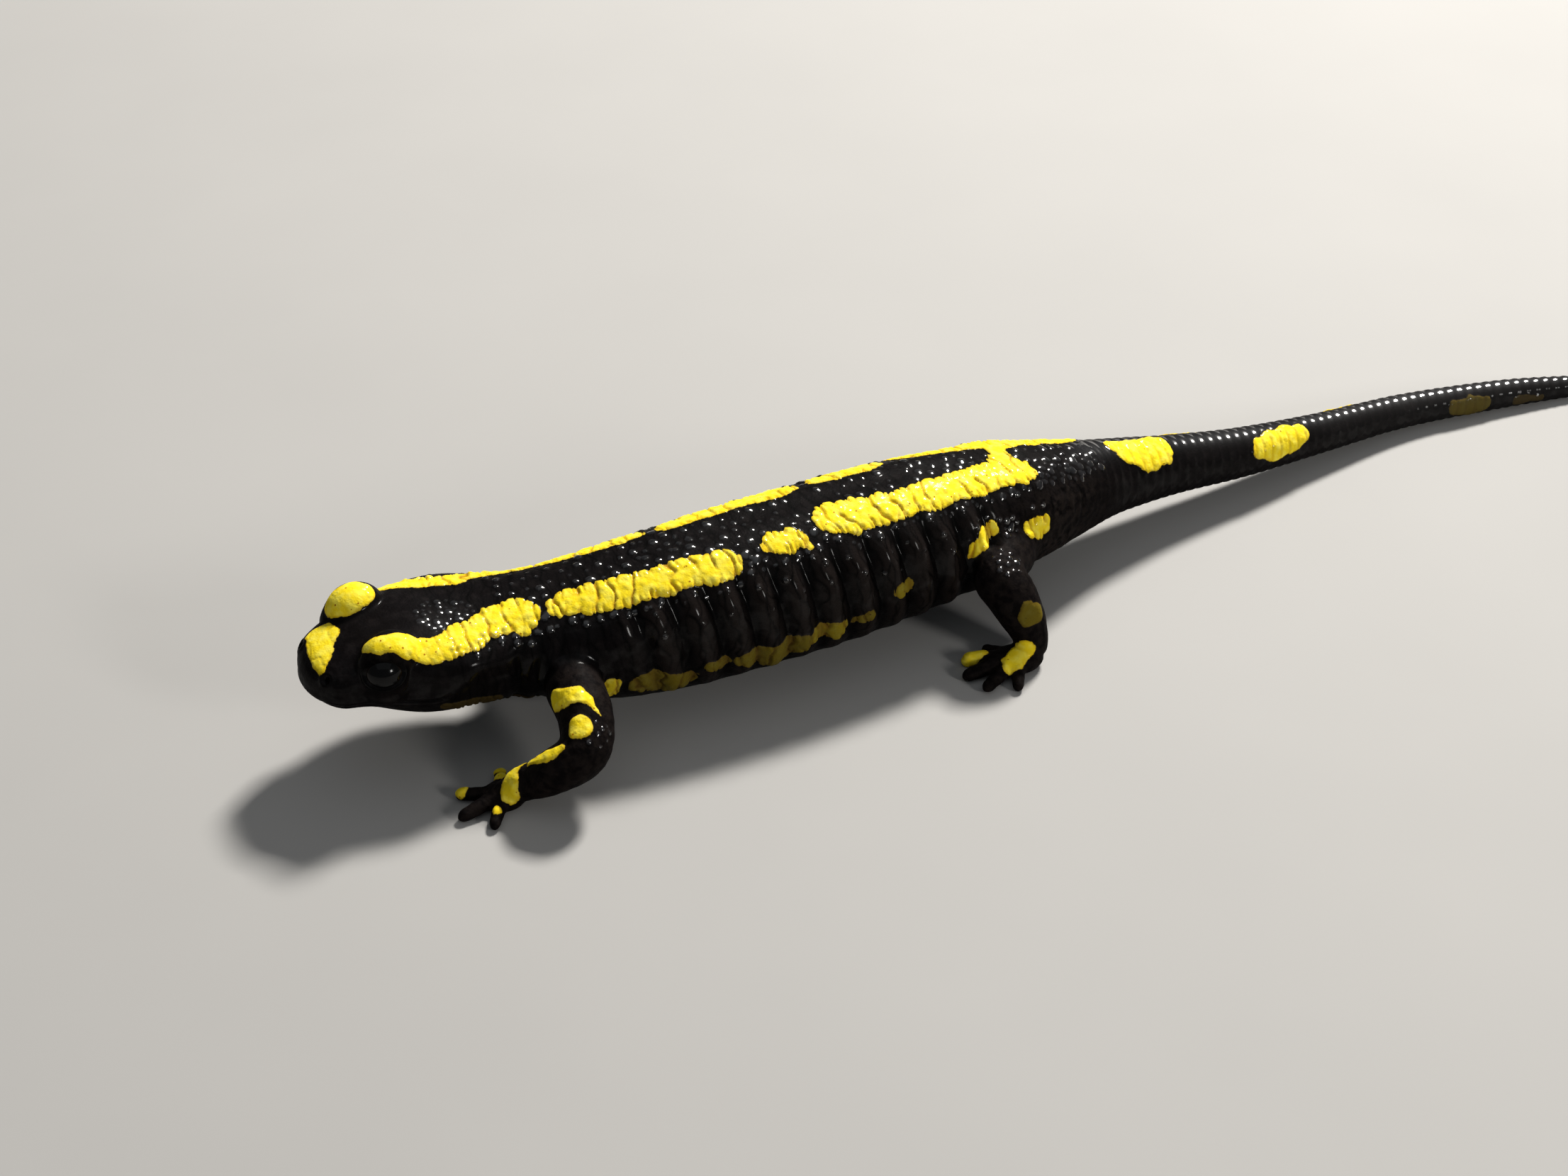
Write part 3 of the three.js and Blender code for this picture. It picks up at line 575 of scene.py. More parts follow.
class Surface:
    """A closed mesh of four-sided faces."""

    def __init__(self, points, quads):
        self.points = points
        self.quads = quads
        pairs = np.concatenate([quads[:, [i, (i + 1) % 4]] for i in range(4)])
        order = np.argsort(pairs[:, 0], kind="stable")
        self.neighbours = pairs[order, 1]
        self.valence = np.bincount(pairs[:, 0], minlength=len(points))
        self.first = np.concatenate([[0], np.cumsum(self.valence)[:-1]])

    def smooth(self, rounds, weight=1.0, share=0.5):
        """Moves each vertex a share of the way to its neighbours' mean, over and over."""
        w = np.broadcast_to(weight, len(self.points))[:, None]
        for _ in range(rounds):
            total = np.add.reduceat(self.points[self.neighbours], self.first, axis=0)
            self.points = self.points + share * w * (total / self.valence[:, None] - self.points)

    def normals(self):
        a, b, c, d = (self.points[self.quads[:, i]] for i in range(4))
        face = np.cross(c - a, d - b)
        total = np.zeros_like(self.points)
        for axis in range(3):
            for i in range(4):
                total[:, axis] += np.bincount(self.quads[:, i], face[:, axis], len(total))
        return unit(total)

    def push(self, height):
        self.points = self.points + height[:, None] * self.normals()


# ---- places on the skin


def nearest(points, samples):
    """For each point, the nearest sample's index and distance."""
    index = np.empty(len(points), int)
    distance = np.empty(len(points))
    size = (samples**2).sum(1)
    block = 20000
    for start in range(0, len(points), block):
        p = points[start : start + block]
        squares = size - 2 * p @ samples.T
        i = squares.argmin(1)
        index[start : start + block] = i
        distance[start : start + block] = np.linalg.norm(p - samples[i], axis=1)
    return index, distance


def body_places(points):
    """Each point's station, angle, angle on either side, height over the spine and distance outside."""
    stations = np.linspace(0, LENGTH, SPINE_SAMPLES)
    f = spine_frame(stations)
    index, _ = nearest(points, f.origin)
    station = np.clip(stations[index] + dot(points - f.origin[index], f.tailward[index]), 0, LENGTH)
    f = spine_frame(station)
    offset = points - f.origin
    left, up = -dot(offset, f.right), dot(offset, f.up)
    width, top, bottom, square = section(station)
    high = np.where(up > 0, top, bottom)
    power = 1 / square
    sine, cosine = (np.abs(left) / width) ** power, (np.abs(up) / high) ** power
    angle = np.degrees(np.arctan2(np.sign(left) * sine, np.sign(up) * cosine))
    share = np.hypot(sine, cosine) ** square
    outside = (share - 1) * np.minimum(width, high)
    return Table(station=station, angle=angle, around=np.abs(angle), up=up, outside=outside)


def leg_places(points):
    """Each point's place along the nearest leg, and its distance outside it."""
    place, best = np.zeros(len(points)), np.full(len(points), FAR)
    for leg, rows in LEGS.items():
        places = np.linspace(0, len(rows) - 1, LEG_SAMPLES)
        f = leg_frame(leg, places)
        index, distance = nearest(points, f.origin)
        outside = distance - f.radius[index]
        closer = outside < best
        place[closer], best[closer] = places[index][closer], outside[closer]
    return Table(place=place, outside=best)


def noise(points, size, seed):
    """Smooth random values from -1 to 1 that change over a length of size."""
    q = np.asarray(points) / size + 512.0
    cell = np.floor(q).astype(np.int64)
    f = q - cell
    f = f * f * (3 - 2 * f)
    total = np.zeros(len(q))
    for corner in range(8):
        step = np.array([corner & 1, corner >> 1 & 1, corner >> 2 & 1])
        c = cell + step
        h = c[:, 0] * 73856093 ^ c[:, 1] * 19349663 ^ c[:, 2] * 83492791 ^ seed * 2654435761
        h = (h ^ (h >> 13)) * 1274126177 & 0xFFFFFFFF
        value = ((h ^ (h >> 16)) & 0xFFFF) / 32767.5 - 1
        total += value * np.prod(np.where(step == 1, f, 1 - f), axis=1)
    return total


def chain_distance(points, beads):
    """Distance outside a chain of balls joined by cones. Beads are x, y, z, radius."""
    beads = np.asarray(beads, float)
    if len(beads) == 1:
        beads = np.repeat(beads, 2, axis=0)
    best = np.full(len(points), FAR)
    for a, b in zip(beads[:-1], beads[1:]):
        span = b[:3] - a[:3]
        share = np.clip((points - a[:3]) @ span / max(span @ span, 1e-9), 0, 1)
        distance = np.linalg.norm(points - a[:3] - share[:, None] * span, axis=1)
        best = np.minimum(best, distance - a[3] - share * (b[3] - a[3]))
    return best


# ---- markings


def tree_of(points):
    """A tree that finds the numbers of the points near a place."""
    tree = KDTree(len(points))
    for number, point in enumerate(points):
        tree.insert(point, number)
    tree.balance()
    return tree


def body_beads(chain):
    stations, angles, radii = np.array(chain, float).T
    return np.column_stack([skin_points(stations, angles), radii])


def leg_beads(leg, chain):
    places, angles, radii = np.array(chain, float).T
    f = leg_frame(leg, places)
    a = np.radians(angles)
    around = side_of(leg) * np.cos(a)[:, None] * f.level + np.sin(a)[:, None] * f.upright
    return np.column_stack([f.origin + f.radius[:, None] * around, radii])


def limb_beads(chain):
    return [(*over_ground(*place, LEFT)[0], radius) for *place, radius in chain]


def digit_bead(leg, spot):
    number, share, radius = spot
    paw = paw_frame(leg)
    angle, length, thick = paw.form.digits[number]
    x, y, _ = paw.middle + share * length * digit_direction(paw, angle)
    return [(x, y, DIGIT_TOP * thick, radius)]


def lid_beads(side, chain):
    return [(*on_body(place, SIDES[side]), radius) for *place, radius in chain]


def all_marks():
    """Each yellow marking as how much it is painted duller and shaded, and its beads: x, y, z, radius."""
    marks = [(0, body_beads(chain)) for chain in BACK_MARKS]
    marks += [(dull, body_beads(chain)) for dull, chain in DULL_AND_SHADED_MARKS]
    marks += [(dull, limb_beads(chain)) for dull, chain in LIMB_MARKS]
    marks += [(0, lid_beads(side, chain)) for side, chain in LID_MARKS.items()]
    for leg, chains in LEG_MARKS.items():
        marks += [(0, leg_beads(leg, chain)) for chain in chains]
    for leg, spots in DIGIT_MARKS.items():
        marks += [(0, digit_bead(leg, spot)) for spot in spots]
    return marks


def marking(points):
    """Distance outside the nearest yellow marking, and how much that marking is painted duller and shaded.
    """
    tree = tree_of(points)
    best, dullness_and_shade = np.full(len(points), FAR), np.zeros(len(points))
    for dull, beads in all_marks():
        on_skin = [(*points[tree.find(place)[1]], radius) for *place, radius in beads]
        distance = chain_distance(points, on_skin)
        closer = distance < best
        best[closer], dullness_and_shade[closer] = distance[closer], dull
    return best, dullness_and_shade


# ---- relief


def off_step(position, spacing):
    """How far each position is from the nearest multiple of spacing."""
    return position - np.round(position / spacing) * spacing


def costal_relief(at):
    """The flank's ribs: height, how deep in a groove between two, and how far up one."""
    c = COSTAL
    along = at.station - c.first - c.lean * (at.around - c.middle) / LEAN_ANGLE
    phase = along / c.spacing
    off = off_step(along, c.spacing)
    cushion = (0.5 - 0.5 * np.cos(2 * math.pi * off / c.spacing)) ** c.roundness
    fade_out = [c.count - ribs for ribs in c.fade_out]
    ends = smooth_step(*c.fade_in, phase) * smooth_step(*fade_out, phase)
    reach = ends * smooth_step(*c.top, at.around) * smooth_step(*c.bottom, at.around)
    return reach * c.depth * (cushion - c.level), reach * bell(off / c.line), reach * cushion


def furrow_relief(at):
    c = BACK_FURROW
    middle = (c.start + c.end) / 2
    fade = np.clip(1 - ((at.station - middle) / (c.end - middle)) ** 4, 0, 1)
    return -c.depth * fade * bell(at.angle / c.reach)


def neck_relief(at, points):
    """The neck's folds: height, and how deep in a fold."""
    wander = NECK.wander * noise(points, NECK.size, seed=11)
    reach = smooth_step(*NECK.angles, at.around)
    folds = [(depth, bell((at.station + wander - s) / width)) for s, depth, width in NECK_FOLDS]
    return -reach * sum(depth * fold for depth, fold in folds), reach * sum(fold for _, fold in folds)


def mouth_relief(at):
    """The line of the mouth with its lips: height, and how deep in the line each point is."""
    off = at.up - read_table(MOUTH, at.station)[:, 0]
    fade = smooth_step(*MOUTH_FADE, at.station)
    width, depth = MOUTH_LINE
    groove = bell(off / width)
    lips = sum(height * bell((off - middle) / reach) for middle, reach, height in LIPS)
    return fade * (lips - depth * groove), fade * groove


def gaze_axes(side):
    f = spine_frame(EYE_AT[0])
    gaze = unit(GAZE[0] * f.tailward[0] - side * GAZE[1] * f.right[0] + GAZE[2] * f.up[0])
    level = unit(np.cross(gaze, f.up[0]))
    return gaze, level, np.cross(level, gaze)


def open_eye(skin, side):
    """Opens the lids and returns the crease round the opening, where shade is painted."""
    middle = on_body(EYE_AT, side)
    gaze, level, upright = gaze_axes(side)
    offset = skin.points - middle
    radius = np.linalg.norm(offset, axis=1)
    across, high = offset @ level / OPEN_WIDTH, offset @ upright / OPEN_HEIGHT
    edge = (np.hypot(across, high) - 1) * (OPEN_WIDTH + OPEN_HEIGHT) / 2
    near = (radius < LID_REACH) & (offset @ gaze > 0)
    inside = near * smooth_step(*LID_FALL, edge)
    target = np.where(edge < LID_FALL[0], EYE_RADIUS - LID_SINK, radius)
    pulled = radius + inside * (target - radius)
    rim = near * bell((edge - RIM.at) / RIM.width)
    lip = EYE_RADIUS + RIM.height + RIM.upper * smooth_step(*RIM.upper_from, high)
    pulled = pulled + rim * RIM.share * (lip - pulled)
    skin.points = middle + offset * (pulled / np.maximum(radius, 1e-6))[:, None]
    return near * bell((edge - RIM.crease) / RIM.crease_width)


def nostril_relief(points):
    c = NOSTRIL
    dip = np.zeros(len(points))
    for side in (LEFT, RIGHT):
        spot = skin_points([c.station], [side * c.angle])[0]
        distance = np.linalg.norm(points - spot, axis=1)
        dip += c.rim * bell((distance - c.rim_at) / c.rim_width) - c.depth * bell(distance / c.reach)
    return dip


def cut_depth(at, points, edge):
    """The short cuts that cross the yellow, most of them near its edges."""
    c = CUT_FORM
    along = at.station - c.lean * at.around / LEAN_ANGLE
    near_edge = smooth_step(*c.near_edge, edge)
    total = np.zeros(len(points))
    for spacing, width, wander, depth, seed, only_near_edge in CUTS:
        ripple = c.ripple * noise(points, c.ripple_size, seed + 20)
        waver = wander * (noise(points, c.size, seed) + ripple)
        whole = noise(points, c.gap_size, seed + 40) + c.edge_share * near_edge
        deep = bell(off_step(along + waver, spacing) / width) * smooth_step(*c.gaps, whole)
        if only_near_edge:
            deep = deep * near_edge
        total = np.maximum(total, depth * deep)
    return total


def scatter(points, chosen, spacing, seed):
    """Some of the chosen points at random, at least spacing apart."""
    draw = np.random.default_rng(seed)
    kept, cells = [], {}
    for number in draw.permutation(np.flatnonzero(chosen)):
        point = points[number]
        x, y, z = (int(v) for v in np.floor(point / spacing))
        around = ((x + i, y + j, z + k) for i in (-1, 0, 1) for j in (-1, 0, 1) for k in (-1, 0, 1))
        near = (cells[cell] for cell in around if cell in cells)
        if all(np.linalg.norm(point - other) >= spacing for other in near):
            cells[x, y, z] = point
            kept.append(number)
    return points[kept], draw


def granules(points, regions):
    """Height and wetness of the round granules in each region."""
    c = GRANULE_SIZES
    tree = tree_of(points)
    rise, wet = np.zeros(len(points)), np.zeros(len(points))
    for seed, (name, row) in enumerate(GRANULES.items(), GRANULE_SEED):
        spacing, radius, height, wetness = row[:4]
        centres, draw = scatter(points, regions[name], spacing, seed)
        for centre in centres:
            size = c.least + c.spread * draw.uniform() ** c.power
            reach = radius * size
            _, near, distance = map(list, zip(*tree.find_range(centre, reach)))
            dome = 1 - (np.array(distance) / reach) ** 2
            rise[near] = np.maximum(rise[near], height * size * dome)
            wet[near] = np.maximum(wet[near], wetness * smooth_step(*WET_DOME, dome))
    return rise, wet


def near_joints(points):
    near = np.zeros(len(points), bool)
    for side, *place, reach in JOINT_SPOTS:
        near |= np.linalg.norm(points - over_ground(*place, SIDES[side])[0], axis=1) < reach
    return near


def granule_regions(points, at, zone, edge, normals):
    """Where each kind of granule grows."""
    c = BARE_PATCHES
    black = edge > BLACK_SKIN[0]
    on_trunk = black & (zone.trunk > TRUNK_ONLY)

    def band(name):
        ranges = zip((at.station, at.around, edge), GRANULES[name][4:])
        return np.all([(value >= low) & (value < high) for value, (low, high) in ranges], axis=0)

    def patch(place, angle):
        along, reach, middle, width = place
        return np.hypot((at.station - along) / reach, (angle - middle) / width) < 1

    return {
        "back": on_trunk & band("back") & (noise(points, c.size, c.seed) > c.below),
        "neck": on_trunk & band("neck"),
        "edge": on_trunk & band("edge"),
        "gland": on_trunk & patch(GLAND_PATCH, at.angle),
        "hip": on_trunk & patch(HIP_PATCH, at.around),
        "flank": on_trunk & band("flank") & (zone.crest > CREST_ONLY),
        "yellow": band("yellow") & (normals[:, 2] > FACING_UP),
        "joint": black & near_joints(points),
        "gland rim": band("gland rim"),
    }


def shape_roots(skin):
    """Smooths the squares away and flows each leg into the body."""
    c = ROOT_SMOOTHING
    skin.smooth(SQUARES_SMOOTHING.rounds, share=SQUARES_SMOOTHING.share)
    at, leg = body_places(skin.points), leg_places(skin.points)
    root = bell(at.outside / c.reach) * bell(leg.outside / c.reach) * (leg.place < c.end)
    bend = bell(leg.place - c.bend) * (at.outside > c.outside[0]) * (leg.outside < c.outside[1])
    skin.smooth(c.rounds, weight=np.clip(root + c.bend_share * bend, 0, 1))


def body_zones(at, leg, trunk, crest):
    """How far each point belongs to each part of the body."""
    tail = smooth_step(*TAIL_BLEND, at.station) * trunk
    hip = bell((at.station - HIP.station) / HIP.reach) * smooth_step(*HIP.angles, at.around) * trunk
    flank = trunk * smooth_step(*FLANK.angles, at.around) * smooth_step(*FLANK.stations, at.station)
    flank = flank * (1 - tail)
    head = 1 - smooth_step(*HEAD_BLEND, at.station)
    limb = (1 - trunk) * (leg.place > LIMB_FROM)
    return Table(trunk=trunk, crest=crest, tail=tail, head=head, hip=hip, flank=flank, limb=limb)


def shape_folds(skin):
    """Folds, mouth, lids and nostrils. Returns the skin's places, zones and the creases where shade is
    painted.
    """
    at, leg = body_places(skin.points), leg_places(skin.points)
    trunk = 1 - smooth_step(*TRUNK_BLEND, at.outside)
    costal, costal_line, crest = costal_relief(at)
    neck, neck_line = neck_relief(at, skin.points)
    mouth, mouth_line = mouth_relief(at)
    skin.push(trunk * (costal + furrow_relief(at) + neck) + mouth)
    lids = sum(open_eye(skin, side) for side in (LEFT, RIGHT))
    skin.push(nostril_relief(skin.points))
    skin.smooth(1)
    # Shade is painted into the grooves between the ribs, the neck's folds, the mouth's line and round the
    # lids.
    crease = trunk * (LINE_SHADE * costal_line + neck_line) + mouth_line + lids
    return at, body_zones(at, leg, trunk, crest), crease


def lay_marks(at, p, zone):
    """The yellow's edge, how much duller and painted shaded it is, depth of cuts and raised share."""
    c = TAIL_RINGS
    mark, dull = marking(p)
    ring = bell(off_step(at.station + c.wander * noise(p, c.size, seed=3), c.spacing) / c.width)
    frayed = mark
    for reach, size, seed in FRAY:
        frayed = frayed + reach * noise(p, size, seed)
    cuts = cut_depth(at, p, frayed) * zone.trunk * (1 - zone.tail) * (1 - ON_HEAD.cuts * zone.head)
    edge = frayed + CUT_NOTCH * cuts + c.notch * ring * zone.tail
    cuts = cuts + c.yellow * ring * zone.tail
    return Table(edge=edge, dull=dull, cuts=cuts, pad=smooth_step(*PAD.rise, edge))


def fine_relief(at, p, zone, marks):
    """Height of the yellow pads, the tail's rings and the crinkles."""
    height = PAD.height * (1 - ON_HEAD.height * zone.head)
    grain = PAD.grain * noise(p, PAD.grain_size, seed=9) * (1 - ON_HEAD.grain * zone.head)
    pads = marks.pad * (height + grain - marks.cuts)
    wave = np.cos(2 * math.pi * at.station / TAIL_RINGS.spacing)
    rings = (1 - marks.pad) * TAIL_RINGS.cushion * wave * zone.tail
    c = CRINKLE
    warped = p + c.warp * noise(p, c.warp_size, seed=20)[:, None]
    crinkle = 1 - c.sharpness * np.abs(noise(warped, c.size, seed=21))
    strength = c.hip * zone.hip + c.flank * zone.flank + c.limb * zone.limb
    return pads + rings + strength * np.clip(crinkle, -1, 1)


def dress(skin):
    """Gives the skin its relief and returns its paint values."""
    shape_roots(skin)
    at, zone, crease = shape_folds(skin)
    p = skin.points
    marks = lay_marks(at, p, zone)
    skin.push(fine_relief(at, p, zone, marks))
    regions = granule_regions(p, at, zone, marks.edge, skin.normals())
    rise, wet = granules(skin.points, regions)
    skin.push(rise)
    skin.points[:, 2] = np.maximum(skin.points[:, 2], 0.0)
    film = zone.tail * bell((at.angle - TAIL_FILM.middle) / TAIL_FILM.reach) * (1 - marks.pad)
    return dict(
        mark=marks.edge,
        dull=marks.dull,
        # Shade is painted into the creases, the cuts and the tail's rings.
        crease=np.clip(crease + CUT_SHADE * marks.cuts, 0, 1),
        # The ribs' crests are painted lighter brown, as if lit.
        crest=CREST_PAINTED_LIGHT * zone.trunk * zone.crest,
        brown=np.maximum(zone.hip, LIMB_BROWN * zone.limb),
        wet=np.maximum(wet, film),
    )


# ---- objects and materials


def to_part_frame(points):
    return (np.asarray(points) - BOX_CENTRE) * MM


def add_object(name, points, faces, material, values):
    mesh = mesh_from(name, to_part_frame(points), faces)
    mesh.shade_smooth()
    mesh.materials.append(material)
    for key, value in values.items():
        attribute = mesh.attributes.new(key, "FLOAT", "POINT")
        attribute.data.foreach_set("value", np.asarray(value, np.float32))
    return put_in_scene(name, mesh)


def feed(node, values):
    """Sets a node's inputs, or links them to the output of another node."""
    for key, value in values.items():
        if isinstance(value, bpy.types.NodeSocket):
            node.id_data.links.new(value, node.inputs[key])
        else:
            node.inputs[key].default_value = value


class Nodes:
    """Short calls for a material's nodes. Sizes are in millimetres."""

    def __init__(self, name):
        self.material = bpy.data.materials.new(name)
        self.material.use_nodes = True
        self.nodes = self.material.node_tree.nodes
        self.place = self.add("TexCoord", "Object", {})

    def shade(self, **values):
        """Feeds the shader's sockets, named with _ for each space."""
        feed(self.nodes["Principled BSDF"], {key.replace("_", " "): values[key] for key in values})

    def add(self, kind, output, values, **settings):
        made = self.nodes.new("ShaderNode" + kind)
        for key, value in settings.items():
            setattr(made, key, value)
        feed(made, values)
        return made.outputs[output]

    def value(self, name):
        return self.add("Attribute", "Fac", {}, attribute_name=name)

    def noise(self, size, detail):
        values = {"Vector": self.place, "Scale": 1 / (size * MM), "Detail": detail}
        return self.add("TexNoise", "Fac", values)

    def cells(self, size):
        return self.add("TexVoronoi", "Distance", {"Vector": self.place, "Scale": 1 / (size * MM)})

    def math(self, operation, *values):
        return self.add("Math", 0, dict(enumerate(values)), operation=operation)

    def spread(self, value, low, high, to_low=0.0, to_high=1.0):
        """Carries a value smoothly from one range to another."""
        values = {"Value": value, "From Min": low, "From Max": high, "To Min": to_low, "To Max": to_high}
        return self.add("MapRange", "Result", values, interpolation_type="SMOOTHSTEP")

    def mix(self, share, a, b):
        return self.add("Mix", "Result", {"Factor": share, "A": a, "B": b}, data_type="RGBA")

    def bump(self, height, distance):
        values = {"Height": height, "Distance": distance * MM, "Strength": 1.0}
        return self.add("Bump", "Normal", values)


# Base colours, linear.
# The deepest black is painted shade for the creases.
CREASE_SHADE_BLACK, BLACK = (0.0006, 0.0005, 0.0005, 1), (0.003, 0.0023, 0.0024, 1)
# Brown is painted light on the ribs' crests, and is also mixed into the hips and limbs.
BLACK_LIT, BROWN_AND_CREST_LIGHT = (0.007, 0.0055, 0.0055, 1), (0.012, 0.009, 0.0078, 1)
YELLOW, YELLOW_PALE = (0.80, 0.61, 0.016, 1), (0.84, 0.71, 0.07, 1)
# The duller ochre is painted shade on marks low on the body, partly their own duller colour. Ochre is
# painted shade in the yellow's creases, and the own colour of its pores and rim.
OCHRE, DULL_AND_SHADE = (0.36, 0.16, 0.006, 1), (0.034, 0.023, 0.007, 1)
IRIS, IRIS_LIT = (0.003, 0.002, 0.0015, 1), (0.009, 0.0055, 0.003, 1)
PUPIL, EYE_EDGE = (0.0015, 0.0015, 0.0015, 1), (0.003, 0.0025, 0.0025, 1)
PUPIL_ENDS, IRIS_ENDS = (34, 42), (58, 70)  # degrees from the gaze


def black_skin(n, crease):
    """Black, with the ribs' crests painted browner as if lit, browner hips and limbs, and painted shade
    deepest in the creases.
    """
    black = n.mix(n.spread(n.noise(1.4, 4), 0.45, 0.75), BLACK, BLACK_LIT)
    # Painted light: the ribs' crests are browner, as if lit from above.
    black = n.mix(n.value("crest"), black, BROWN_AND_CREST_LIGHT)
    # Painted shade: darkest in the creases.
    black = n.mix(crease, black, CREASE_SHADE_BLACK)
    patches = n.spread(n.noise(0.9, 3), 0.35, 0.65)
    return n.mix(n.math("MULTIPLY", n.value("brown"), patches), black, BROWN_AND_CREST_LIGHT)


def yellow_skin(n, crease, edge):
    """Yellow with paler clouds; ochre painted shade in its creases, ochre pores and rim; marks low on the
    body painted darker as if in shade.
    """
    yellow = n.mix(n.spread(n.noise(1.1, 4), 0.4, 0.7), YELLOW, YELLOW_PALE)
    pores = n.spread(n.cells(1.25), 0.13, 0.07)
    rim = n.spread(edge, -0.4, 0.0, 0.0, 0.45)
    # Ochre painted shade in the creases, with the yellow's own ochre pores and rim.
    shade_pores_and_rim = n.math("MAXIMUM", n.math("MULTIPLY", crease, 0.9), n.math("MAXIMUM", pores, rim))
    # Marks low on the body are painted darker as if in shade, partly their own duller colour.
    return n.mix(n.value("dull"), n.mix(shade_pores_and_rim, yellow, OCHRE), DULL_AND_SHADE)


def wetness(n, edge):
    """Water on the granules' tops and the tail, and a faint film that the brown skin lacks."""
    patches = n.spread(n.noise(1.6, 3), 0.4, 0.7, 0.03, 0.1)
    film = n.math("MULTIPLY", patches, n.spread(n.value("brown"), 0.0, 0.3, 1.0, 0.0))
    film = n.math("MULTIPLY", film, n.spread(edge, -0.3, 0.1, 0.4, 1.0))
    return n.math("MAXIMUM", film, n.value("wet"))


def fine_grain(n):
    cells = n.math("MULTIPLY", n.spread(n.cells(0.5), 0.0, 0.55), 0.5)
    return n.bump(n.math("ADD", cells, n.noise(0.22, 3)), 0.04)


def skin_material():
    n = Nodes("salamander_skin")
    frayed = n.math("MULTIPLY_ADD", n.noise(0.45, 3), 0.3, -0.15)
    edge = n.math("ADD", n.value("mark"), frayed)
    crease = n.value("crease")
    black, yellow = black_skin(n, crease), yellow_skin(n, crease, edge)
    n.shade(
        Base_Color=n.mix(n.spread(edge, 0.06, -0.06), black, yellow),
        Roughness=n.spread(n.noise(0.6, 3), 0.3, 0.7, 0.5, 0.62),
        Specular_IOR_Level=0.012,
        Coat_Weight=wetness(n, edge),
        Coat_Roughness=0.12,
        Coat_IOR=1.8,
        Normal=fine_grain(n),
    )
    return n.material


def eye_material():
    n = Nodes("salamander_eye")
    ring = n.value("gaze_angle")
    iris = n.mix(n.noise(0.3, 4), IRIS, IRIS_LIT)
    colour = n.mix(n.spread(ring, *PUPIL_ENDS), PUPIL, iris)
    n.shade(
        Base_Color=n.mix(n.spread(ring, *IRIS_ENDS), colour, EYE_EDGE),
        Roughness=n.spread(n.noise(0.2, 2), 0.3, 0.7, 0.14, 0.22),
        Specular_IOR_Level=0.05,
        Coat_Weight=0.4,
        Coat_Roughness=0.03,
        Coat_IOR=1.35,
    )
    return n.material


def make_skin():
    skin = fuse(all_shells())
    values = dress(skin)
    made = add_object("skin", skin.points, skin.quads, skin_material(), values)
    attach(made, "root")
    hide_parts(*[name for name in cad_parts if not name.startswith("eye")])


def make_eye(name, side, material):
    gaze, level, upright = gaze_axes(side)
    middle = on_body(EYE_AT, side)
    points, faces = ellipsoid(middle, [EYE_RADIUS] * 3, (level, upright, gaze), EYE_SIDES, EYE_RINGS)
    direction = unit(points - middle)
    angle = np.degrees(np.arccos(np.clip(direction @ gaze, -1, 1)))
    points = points + (CORNEA.height * bell(angle / CORNEA.reach))[:, None] * direction
    made = add_object("eye_" + name + "_ball", points, faces, material, {"gaze_angle": angle})
    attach(made, "root")
    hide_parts("eye_" + name)


def make_eyes():
    material = eye_material()
    for name, side in SIDES.items():
        make_eye(name, side, material)


# ---- studio

PHOTO_WIDTH = 2212  # pixels
FOCAL_LENGTH = 4025  # pixels: 11.5 to a millimetre at the animal
SENSOR = 36.0
VIEW_ANGLES, VIEW_DISTANCE, VIEW_TARGET = (25, 35), 350, (0, 0, 10)  # azimuth and elevation
CLIP = (0.01, 50)  # metres
FLOOR_REACH, FLOOR_TONES = 6.0, ((0.31, 0.303, 0.293, 1), (0.335, 0.327, 0.316, 1))
SKY = {"Color": (0.9, 0.95, 1.0, 1), "Strength": 0.14}
# Lamps: azimuth and elevation of the light's way, distance and size in metres, power in watts, colour.
LAMPS = {
    "key": (232, 49, 0.9, 0.15, 17.3, (1.0, 0.97, 0.92)),
    "fill": (20, 80, 1.2, 1.8, 2.2, (0.92, 0.96, 1.0)),
    "front": (338, 24, 0.9, 0.15, 2.6, (1.0, 0.98, 0.95)),
}
GLOW = {"Threshold": 2.5, "Strength": 0.5, "Size": 0.25}


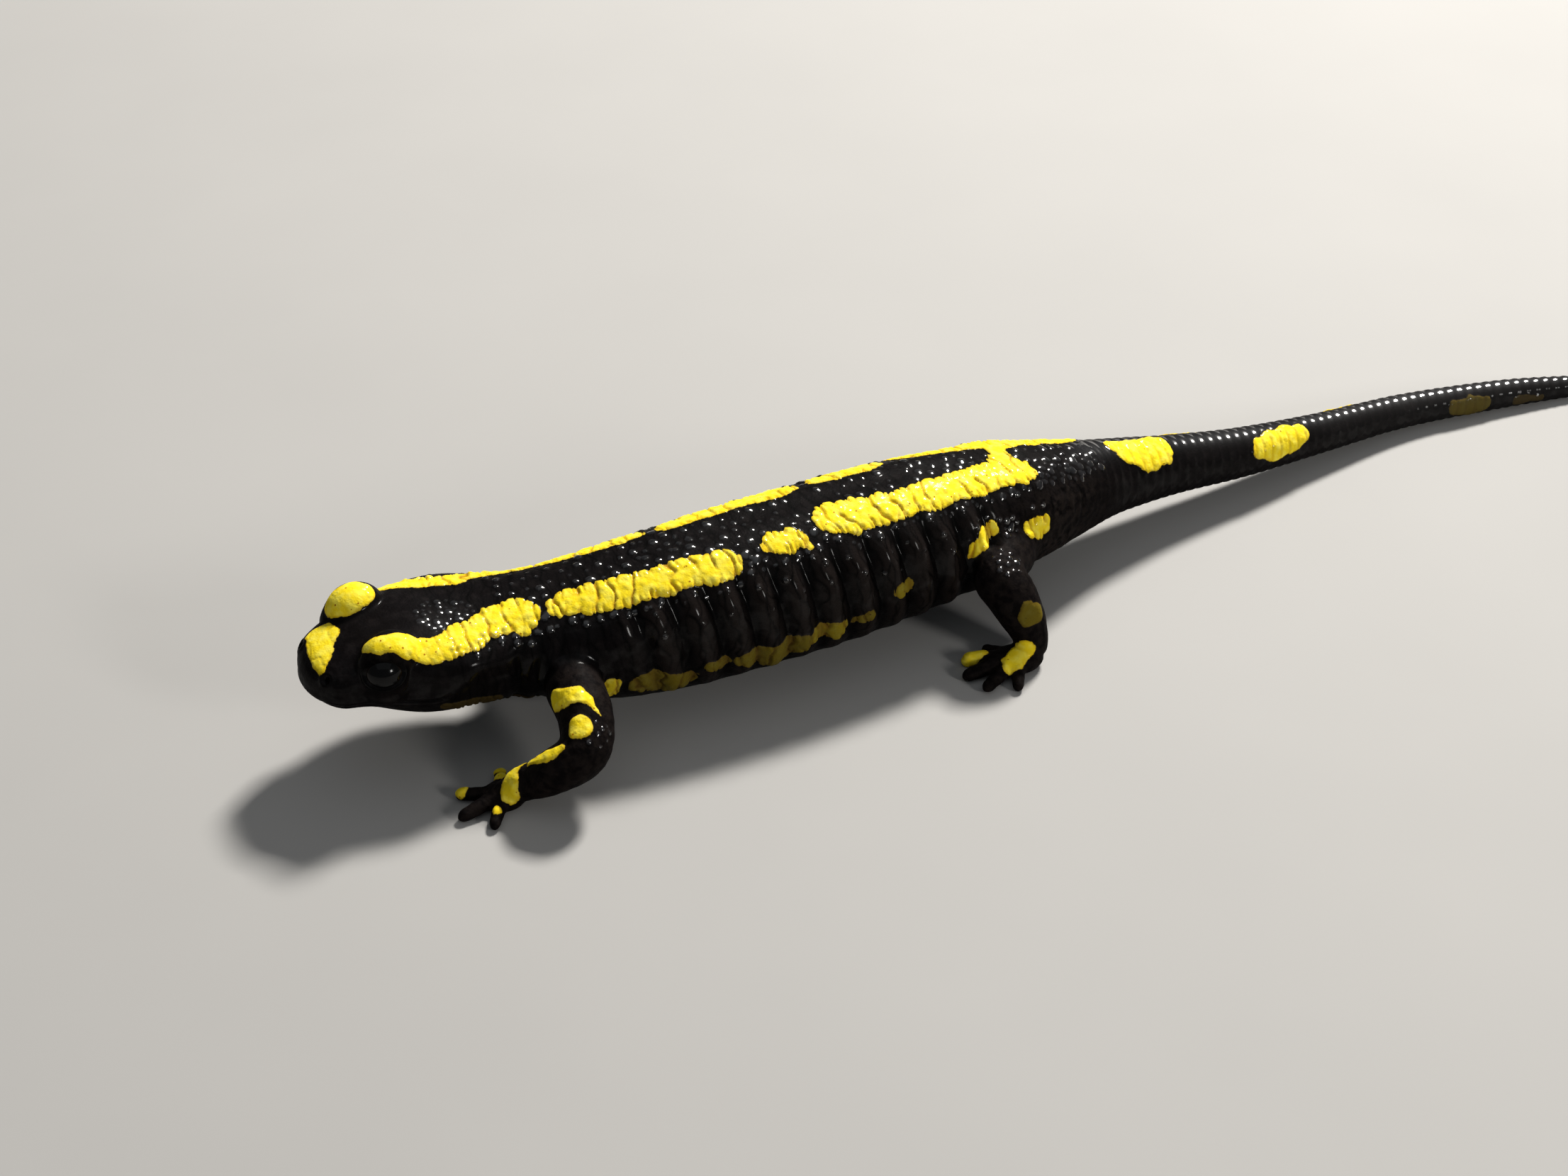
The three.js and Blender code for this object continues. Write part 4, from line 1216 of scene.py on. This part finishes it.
def aim(made, azimuth, elevation, distance, target):
    """Looks at a target from a distance. Azimuth turns from +Y toward +X."""
    a, e = math.radians(azimuth), math.radians(elevation)
    look = Vector((math.sin(a) * math.cos(e), math.cos(a) * math.cos(e), -math.sin(e)))
    made.location = Vector(target) - look * distance
    made.rotation_euler = look.to_track_quat("-Z", "Y").to_euler()


def make_camera():
    camera = put_in_scene("camera", bpy.data.cameras.new("camera"))
    camera.data.sensor_width = SENSOR
    camera.data.lens = SENSOR * FOCAL_LENGTH / PHOTO_WIDTH
    camera.data.clip_start, camera.data.clip_end = CLIP
    aim(camera, *VIEW_ANGLES, VIEW_DISTANCE * MM, to_part_frame(VIEW_TARGET))
    SCENE.camera = camera


def make_lamp(name, azimuth, elevation, distance, size, power, colour):
    lamp = put_in_scene(name, bpy.data.lights.new(name, "AREA"))
    lamp.data.size = size
    lamp.data.energy = power
    lamp.data.color = colour
    aim(lamp, azimuth, elevation, distance, (0, 0, 0))


def make_floor():
    n = Nodes("studio_floor")
    n.shade(Base_Color=n.mix(n.noise(40, 3), *FLOOR_TONES), Roughness=0.8)
    r = FLOOR_REACH
    mesh = mesh_from("floor", [(-r, -r, 0), (r, -r, 0), (r, r, 0), (-r, r, 0)], [(0, 1, 2, 3)])
    mesh.materials.append(n.material)
    floor = put_in_scene("floor", mesh)


def make_studio():
    make_floor()
    world = bpy.data.worlds.new("studio")
    SCENE.world = world
    world.use_nodes = True
    feed(world.node_tree.nodes["Background"], SKY)
    for name, settings in LAMPS.items():
        make_lamp(name, *settings)
    SCENE.view_settings.view_transform = "Standard"


def make_glow():
    """A faint glow round the brightest glints, as a lens gives."""
    SCENE.use_nodes = True
    nodes = SCENE.node_tree.nodes
    nodes.clear()
    layers, glare, out = (nodes.new("CompositorNode" + kind) for kind in ("RLayers", "Glare", "Composite"))
    glare.glare_type = "BLOOM"
    feed(glare, {"Image": layers.outputs["Image"], **GLOW})
    feed(out, {"Image": glare.outputs["Image"]})


# ---- the model

make_camera()
make_studio()
make_glow()
make_skin()
make_eyes()
